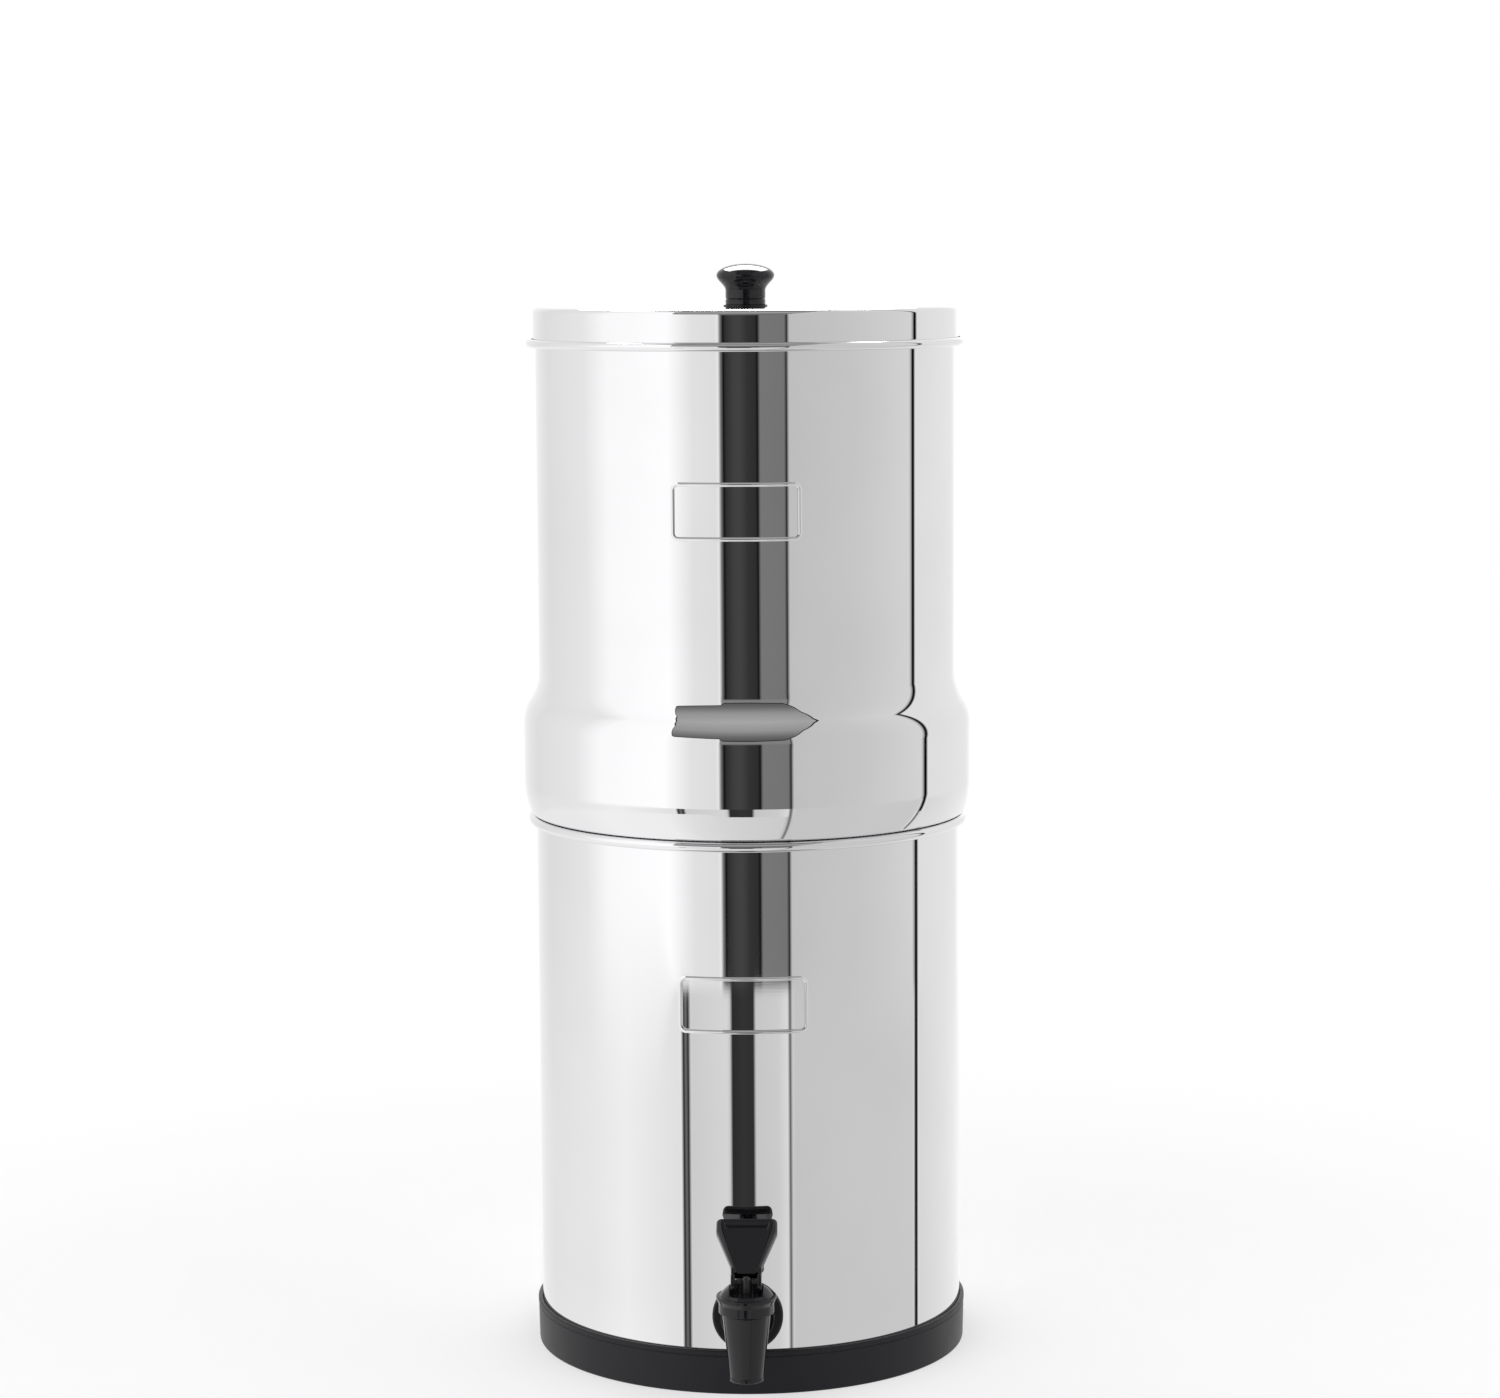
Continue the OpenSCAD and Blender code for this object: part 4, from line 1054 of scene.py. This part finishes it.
def ear_outline(t, steps=40):
    """Outline of a fork's ear, (y, z) with the pin at the origin: the cam and its stalk."""
    cam = Matrix.Rotation(t.lean, 2) @ Vector((-t.cam_y, t.cam_z))
    half = t.lever_t / 2 - t.lever_edge / 2
    end = math.acos((-half - cam.x) / t.cam_r) - TURN
    line = [Vector((half, t.web_r + t.rod_r)), Vector((half, 0))]
    for a in np.linspace(0, end, steps):
        line.append(cam + t.cam_r * Vector((math.cos(a), math.sin(a))))
    return line + [Vector((-half, t.web_r + t.rod_r))]


class MakeTapLever(FilterOperator):
    """Make the tap's lever: a paddle with a sunk panel on a fork with two cams"""
    bl_idname = "water_filter.tap_lever"
    bl_label = "Tap lever"

    def execute(self, context):
        t = context.scene.filter_tap
        points, faces = lever_paddle(t)
        paddle = bevelled("tap_lever_gloss", points, faces, t.lever_edge, limit=22)
        place = Matrix.Translation((0, -t.y, t.pin_z)) @ Matrix.Rotation(-t.lean, 4, "X")
        paddle.data.transform(place)
        finished(paddle, "tap_handle", "gloss_black", gloss_black(), "tap_lever")
        outline = ear_outline(t)
        count = len(outline)
        for side, label in ((-1, "left"), (1, "right")):
            inner, outer = sorted((side * t.slot_half, side * t.fork_half))
            points = [(x, y, z) for x in (inner, outer) for y, z in outline]
            faces = [tuple(range(count)), tuple(reversed(range(count, 2 * count)))]
            for j in range(count):
                k = (j + 1) % count
                faces.append((k, j, count + j, count + k))
            ear = bevelled(f"tap_lever_ear_{label}", points, faces, t.lever_edge, limit=50)
            ear.data.transform(place)
            finished(ear, "tap_handle", "gloss_black", gloss_black(), "tap_lever")
        return {"FINISHED"}


class FinishSmallParts(FilterOperator):
    """Give the valve, the filters, the nuts, the washers and the screws their finishes"""
    bl_idname = "water_filter.small_parts"
    bl_label = "Finishes of the small parts"

    def execute(self, context):
        f = context.scene.filter_finishes
        tap = (0, -context.scene.filter_tap.y, 0)
        carbon = moulded("carbon_core", f.carbon, 0.85, grain=1500, depth=1.6e-4, mottle=0.4)
        plastic = moulded("filter_plastic", (0.018, 0.018, 0.02), 0.34, grain=1100, depth=5e-6)
        silicone = moulded("seat_silicone", (0.7, 0.69, 0.64), 0.5, grain=800, mottle=0.03)
        red = moulded("red_silicone", f.red, 0.55, grain=1300, depth=6e-6, mottle=0.1)
        white = moulded("white_nylon", f.nylon, 0.38, grain=500, mottle=0.03)
        nodes = {
            "tap_inner_washer": washer_rubber(), "tap_nut": nylon_black(),
            "tap_stem": nylon_black(), "tap_pin": nylon_black(), "tap_seat_cup": silicone,
            "tap_spring": machined("spring_steel", (0.6, 0.6, 0.61), 0.22, tap),
            "filter_core_left": carbon, "filter_core_right": carbon,
            "filter_cap_left": plastic, "filter_cap_right": plastic,
            "filter_base_left": plastic, "filter_base_right": plastic,
            "stem_washers": red, "wing_nuts": white, "hole_plugs": white,
            "knob_insert": machined("insert_brass", f.brass, 0.2, (0, 0, 0)),
            "knob_screw": machined("screw_steel", (0.62, 0.62, 0.63), 0.24, (0, 0, 0)),
            "knob_lock_washer": machined("lock_washer_steel", (0.6, 0.6, 0.61), 0.26, (0, 0, 0)),
            "knob_washer": washer_rubber(),
        }
        for node, material in nodes.items():
            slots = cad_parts[node].data.materials
            slots.clear()
            slots.append(material)
        return {"FINISHED"}


# ---------------------------------------------------------------- studio
# The surround that the polished steel mirrors: pale panels with narrow dark gaps between them, and
# a dark opening in front. Each list holds pairs of an angle in degrees and a value, at most 32 of
# them. Azimuth is 0 on the side that the tap points to. A shade is how light the surround looks in
# the steel.

# Azimuth and shade of the upper panels, of the lower panels and of the floor.
PANELS_HIGH = [
    (-180, 0.93), (-136, 0.86), (-97, 0.90), (-80, 0.98), (-42, 1.0), (-28, 0.885), (-15, 0.87),
    (-12.9, 0.96), (-12.6, 0.02), (-11.3, 0.02), (-10.7, 0.17), (-6, 0.25), (-2.5, 0.26),
    (1.5, 0.20), (5.7, 0.18), (6.1, 0.06), (7.5, 0.06), (7.9, 0.465), (21.2, 0.455), (21.5, 0.04),
    (22.8, 0.04), (23.2, 0.75), (62, 0.78), (100.2, 0.83), (101.1, 0.95), (101.4, 0.02),
    (104.1, 0.02), (104.4, 0.98), (105.6, 0.87), (152, 0.89), (166, 0.98), (180, 0.93),
]
PANELS_LOW = [
    (-180, 0.92), (-136, 0.88), (-93, 0.905), (-70, 0.935), (-36.8, 0.88), (-35.9, 0.95),
    (-35.5, 0.04), (-34.3, 0.04), (-34.1, 0.42), (-32.9, 0.42), (-32.7, 0.06), (-32.1, 0.06),
    (-31.8, 0.88), (-30.8, 0.80), (-9.9, 0.84), (-9.5, 0.16), (-3, 0.20), (3.5, 0.18), (3.9, 0.78),
    (16, 0.80), (21.5, 0.86), (22, 0.3), (22.7, 0.3), (23.2, 0.84), (24.4, 0.77), (101, 0.79),
    (102.1, 0.94), (102.4, 0.03), (104.4, 0.03), (104.8, 0.94), (106, 0.84), (160, 0.92),
]
FLOOR_BELOW = [
    (-180, 0.90), (-97, 0.92), (-80, 0.94), (-42, 0.93), (-28, 0.87), (-12, 0.84), (2, 0.82),
    (21, 0.80), (21.6, 0.1), (22.4, 0.1), (22.9, 0.77), (62, 0.78), (100.6, 0.79), (101.7, 0.94),
    (102.2, 0.03), (103.8, 0.03), (104.2, 0.94), (105.4, 0.85), (160, 0.9),
]
# Azimuth and the elevation at which the panels end. Above them is a dark gap of GAP degrees and
# then the dim ceiling. The gap closes where the panels reach GAP_END.
PANEL_TOPS = [
    (-180, 60), (-56, 60), (-45, 44), (-39, 20), (-14, 18), (-12, 12.5), (2, 12), (7, 12.5),
    (20, 14), (26, 22), (32, 34), (46, 50), (62, 60), (180, 60),
]
GAP = 1.6
GAP_EDGE = 0.2
GAP_END = 58
GAP_LIGHT = 0.004
# LOW_EDGE is the elevation at which the upper panels change to the lower ones. LOW_ENDS is azimuth
# and how far below the horizon these end. FADES is azimuth and half the width of both changes.
LOW_EDGE = -11.3
LOW_ENDS = [(-180, 17.4), (-20, 17.4), (-14, 20.5), (180, 20.5)]
FADES = [
    (-180, 2.0), (-50, 2.0), (-40, 0.15), (24.5, 0.15), (40, 1.5), (98, 1.5), (101, 0.2),
    (106, 0.2), (112, 1.5), (180, 2.0),
]
# Elevation and the ceiling's shade in front. Behind the object it is all BACK_SHADE.
CEILING = [
    (0, 0.24), (12, 0.31), (24, 0.42), (38, 0.58), (62, 0.66), (65, 0.3), (74, 0.3), (78, 0.6),
    (90, 0.6),
]
BACK_SHADE = 0.8
# The dark opening is lighter towards its top, and the floor is darker right below.
OPENING = (-13.5, 22.5)
OPENING_RISE = (3, 8)
OPENING_SHADE = 0.5
NADIR = (-68, -74)
NADIR_SHADE = 0.5

# Place, size and share of the key light's power.
SOFT_LAMPS = [((-0.9, -1.1, 1.7), 1.3, 1.0), ((1.2, -0.5, 1.3), 1.1, 0.5)]
LAMP_AIM = Vector((0, 0, 0.25))


def light_of(shade):
    """The light that shows as this shade on a screen."""
    return ((shade + 0.055) / 1.055) ** 2.4 if shade > 0.04 else shade / 12.92


def studio_light(board, steel_shade):
    """The light from a direction, as polished metal and glass see it."""
    direction = board.field("ShaderNodeTexCoord", "Generated")
    x, y, z = board.fields("ShaderNodeSeparateXYZ", "XYZ", inputs={0: direction})
    azimuth = x.math("ARCTAN2", x, -y) * (1 / TURN) + 0.5
    height = z.math("ARCSINE", z) * (180 / math.pi)

    def panel(shade):
        return light_of(shade) / steel_shade

    def ramp(stops, convert=panel, where=azimuth, low=-180, high=180):
        """The stops' value in this direction."""
        level = [((at - low) / (high - low), convert(value)) for at, value in stops]
        return board.field("ShaderNodeValToRGB", "Color", {"stops": level}, {"Fac": where})

    def degrees(stops, most=90):
        """The stops' angle in this direction. A ramp only holds shares of the largest angle."""
        return ramp(stops, lambda angle: angle / most) * most

    left, right = (side / 360 + 0.5 for side in OPENING)
    opening = (azimuth - left).ramp(0, 0.001) * (right - azimuth).ramp(0, 0.001)
    opening = opening * height.ramp(*OPENING_RISE)
    high = board.mix(opening, ramp(PANELS_HIGH), grey(panel(OPENING_SHADE)))
    ceiling = ramp(CEILING, where=height / 90, low=0, high=90)
    ceiling = board.mix(y.ramp(-0.1, 0.2), ceiling, grey(panel(BACK_SHADE)))
    tops, fade = degrees(PANEL_TOPS), degrees(FADES, 10)
    below = ((height - LOW_EDGE) / fade).ramp(1, -1)
    ground = ((height + degrees(LOW_ENDS)) / fade).ramp(1, -1)
    above = (height - tops).ramp(GAP - GAP_EDGE, GAP + GAP_EDGE)
    gap = (height - tops).ramp(-GAP_EDGE, GAP_EDGE) * (1 - above) * (tops - GAP_END).ramp(1, -1)
    walls = board.mix(below, high, ramp(PANELS_LOW))
    walls = board.mix(ground, walls, ramp(FLOOR_BELOW))
    walls = board.mix(height.ramp(*NADIR), walls, grey(panel(NADIR_SHADE)))
    walls = board.mix(gap, walls, grey(GAP_LIGHT))
    return board.mix(above, walls, ceiling)


class SetStudio(FilterOperator):
    """Make the floor, the light and the camera"""
    bl_idname = "water_filter.studio"
    bl_label = "Studio"

    def execute(self, context):
        scene, s = context.scene, context.scene.filter_studio
        self.make_floor(s)
        self.make_world(scene, s)
        self.make_overhead(s)
        for place, size, share_of_key in SOFT_LAMPS:
            lamp = bpy.data.lights.new("soft_lamp", "AREA")
            lamp.energy, lamp.size = s.key * share_of_key, size
            holder = placed(lamp)
            holder.location = place
            holder.rotation_euler = (LAMP_AIM - Vector(place)).to_track_quat("-Z", "Y").to_euler()
            holder.visible_glossy = False
        lens = bpy.data.cameras.new("studio_camera")
        lens.lens, lens.sensor_width, lens.clip_end = s.lens, 36, 50
        camera = placed(lens)
        camera.matrix_world = (
            Matrix.Rotation(s.camera_turn, 4, "Z")
            @ Matrix.Translation((s.camera_x, -s.camera_y, s.camera_z))
            @ Matrix.Rotation(math.pi / 2 - s.camera_pitch, 4, "X")
            @ Matrix.Rotation(-s.camera_roll, 4, "Z")
        )
        scene.camera = camera
        scene.view_settings.view_transform = "Standard"
        return {"FINISHED"}

    @staticmethod
    def make_floor(s):
        """A pale floor that turns white away from the object and keeps its shadow."""
        count = 96
        around = np.linspace(0, TURN, count, endpoint=False)
        points = [(s.floor_r * math.cos(a), s.floor_r * math.sin(a), 0) for a in around]
        mesh = bpy.data.meshes.new("floor")
        mesh.from_pydata(points, [], [tuple(range(count))])
        material, board = blank_material("floor_white")
        place = board.place()
        tone = board.mix(board.noise(place, 30, 3), grey(0.9), grey(0.92))
        pale = board.field("ShaderNodeBsdfDiffuse", 0, inputs={"Color": tone})
        white = board.field("ShaderNodeEmission", 0, inputs={"Color": WHITE})
        seen = board.field("ShaderNodeLightPath", "Is Camera Ray")
        fade = board.vector("LENGTH", place).ramp(s.floor_fade * 0.3, s.floor_fade, 0.5, 1.0) * seen
        mixed = board.field("ShaderNodeMixShader", 0, inputs={0: fade, 1: pale, 2: white})
        board.node("ShaderNodeOutputMaterial", inputs={"Surface": mixed})
        mesh.materials.append(material)
        floor = placed(mesh)
        floor.visible_glossy = False

    @staticmethod
    def make_overhead(s):
        """A bright card above and behind the object, seen only as a highlight on glossy pieces."""
        half, near, high = s.card_w / 2, s.card_y, s.card_z
        mesh = bpy.data.meshes.new("overhead_card")
        corners = [(-half, near, high), (half, near, high), (half, near + s.card_w, high),
                   (-half, near + s.card_w, high)]
        mesh.from_pydata(corners, [], [(3, 2, 1, 0)])
        material, board = blank_material("card_glow")
        first_bounce = board.field("ShaderNodeLightPath", "Glossy Depth").ramp(1.5, 1.4)
        glow = board.field("ShaderNodeEmission", 0, inputs={
            "Color": WHITE, "Strength": first_bounce * s.card})
        board.node("ShaderNodeOutputMaterial", inputs={"Surface": glow})
        mesh.materials.append(material)
        card = placed(mesh)
        card.visible_camera = card.visible_diffuse = card.visible_shadow = False

    @staticmethod
    def make_world(scene, s):
        """White for the camera, the panelled studio for gloss, and an even level for the rest."""
        world = bpy.data.worlds.new("studio")
        world.use_nodes = True
        scene.world = world
        board = Board(world.node_tree)
        panels = studio_light(board, sum(scene.filter_finishes.steel) / 3)
        camera, glossy, through = board.fields(
            "ShaderNodeLightPath", ("Is Camera Ray", "Is Glossy Ray", "Is Transmission Ray"))
        level = board.mix(glossy + through, grey(s.world), panels)
        light = board.mix(camera, level, WHITE)
        sky = board.field("ShaderNodeBackground", 0, inputs={"Color": light, "Strength": 1.0})
        board.node("ShaderNodeOutputWorld", inputs={"Surface": sky})


# ---------------------------------------------------------------- add-on

STEPS = (MakeBaseRing, MakeLowerChamber, MakeUpperChamber, MakeLid, MakeKnob, MakeTapBody,
         MakeTapBonnet, MakeTapLever, FinishSmallParts, SetStudio)


class FilterPanel(Panel):
    """Lists the steps that make the filter"""
    bl_idname = "VIEW3D_PT_water_filter"
    bl_label = "Water filter"
    bl_space_type = "VIEW_3D"
    bl_region_type = "UI"
    bl_category = "Water filter"

    def draw(self, context):
        for step in STEPS:
            self.layout.operator(step.bl_idname)
        for name in GROUPS:
            box = self.layout.box()
            group = getattr(context.scene, name)
            for key in group.__annotations__:
                box.prop(group, key)


CLASSES = (*GROUPS.values(), *STEPS, FilterPanel)


def register():
    for cls in CLASSES:
        bpy.utils.register_class(cls)
    for name, group in GROUPS.items():
        setattr(bpy.types.Scene, name, PointerProperty(type=group))


def unregister():
    for name in GROUPS:
        delattr(bpy.types.Scene, name)
    for cls in reversed(CLASSES):
        bpy.utils.unregister_class(cls)


def main():
    register()
    for step in STEPS:
        family, name = step.bl_idname.split(".")
        getattr(getattr(bpy.ops, family), name)()


if __name__ == "__main__":
    main()
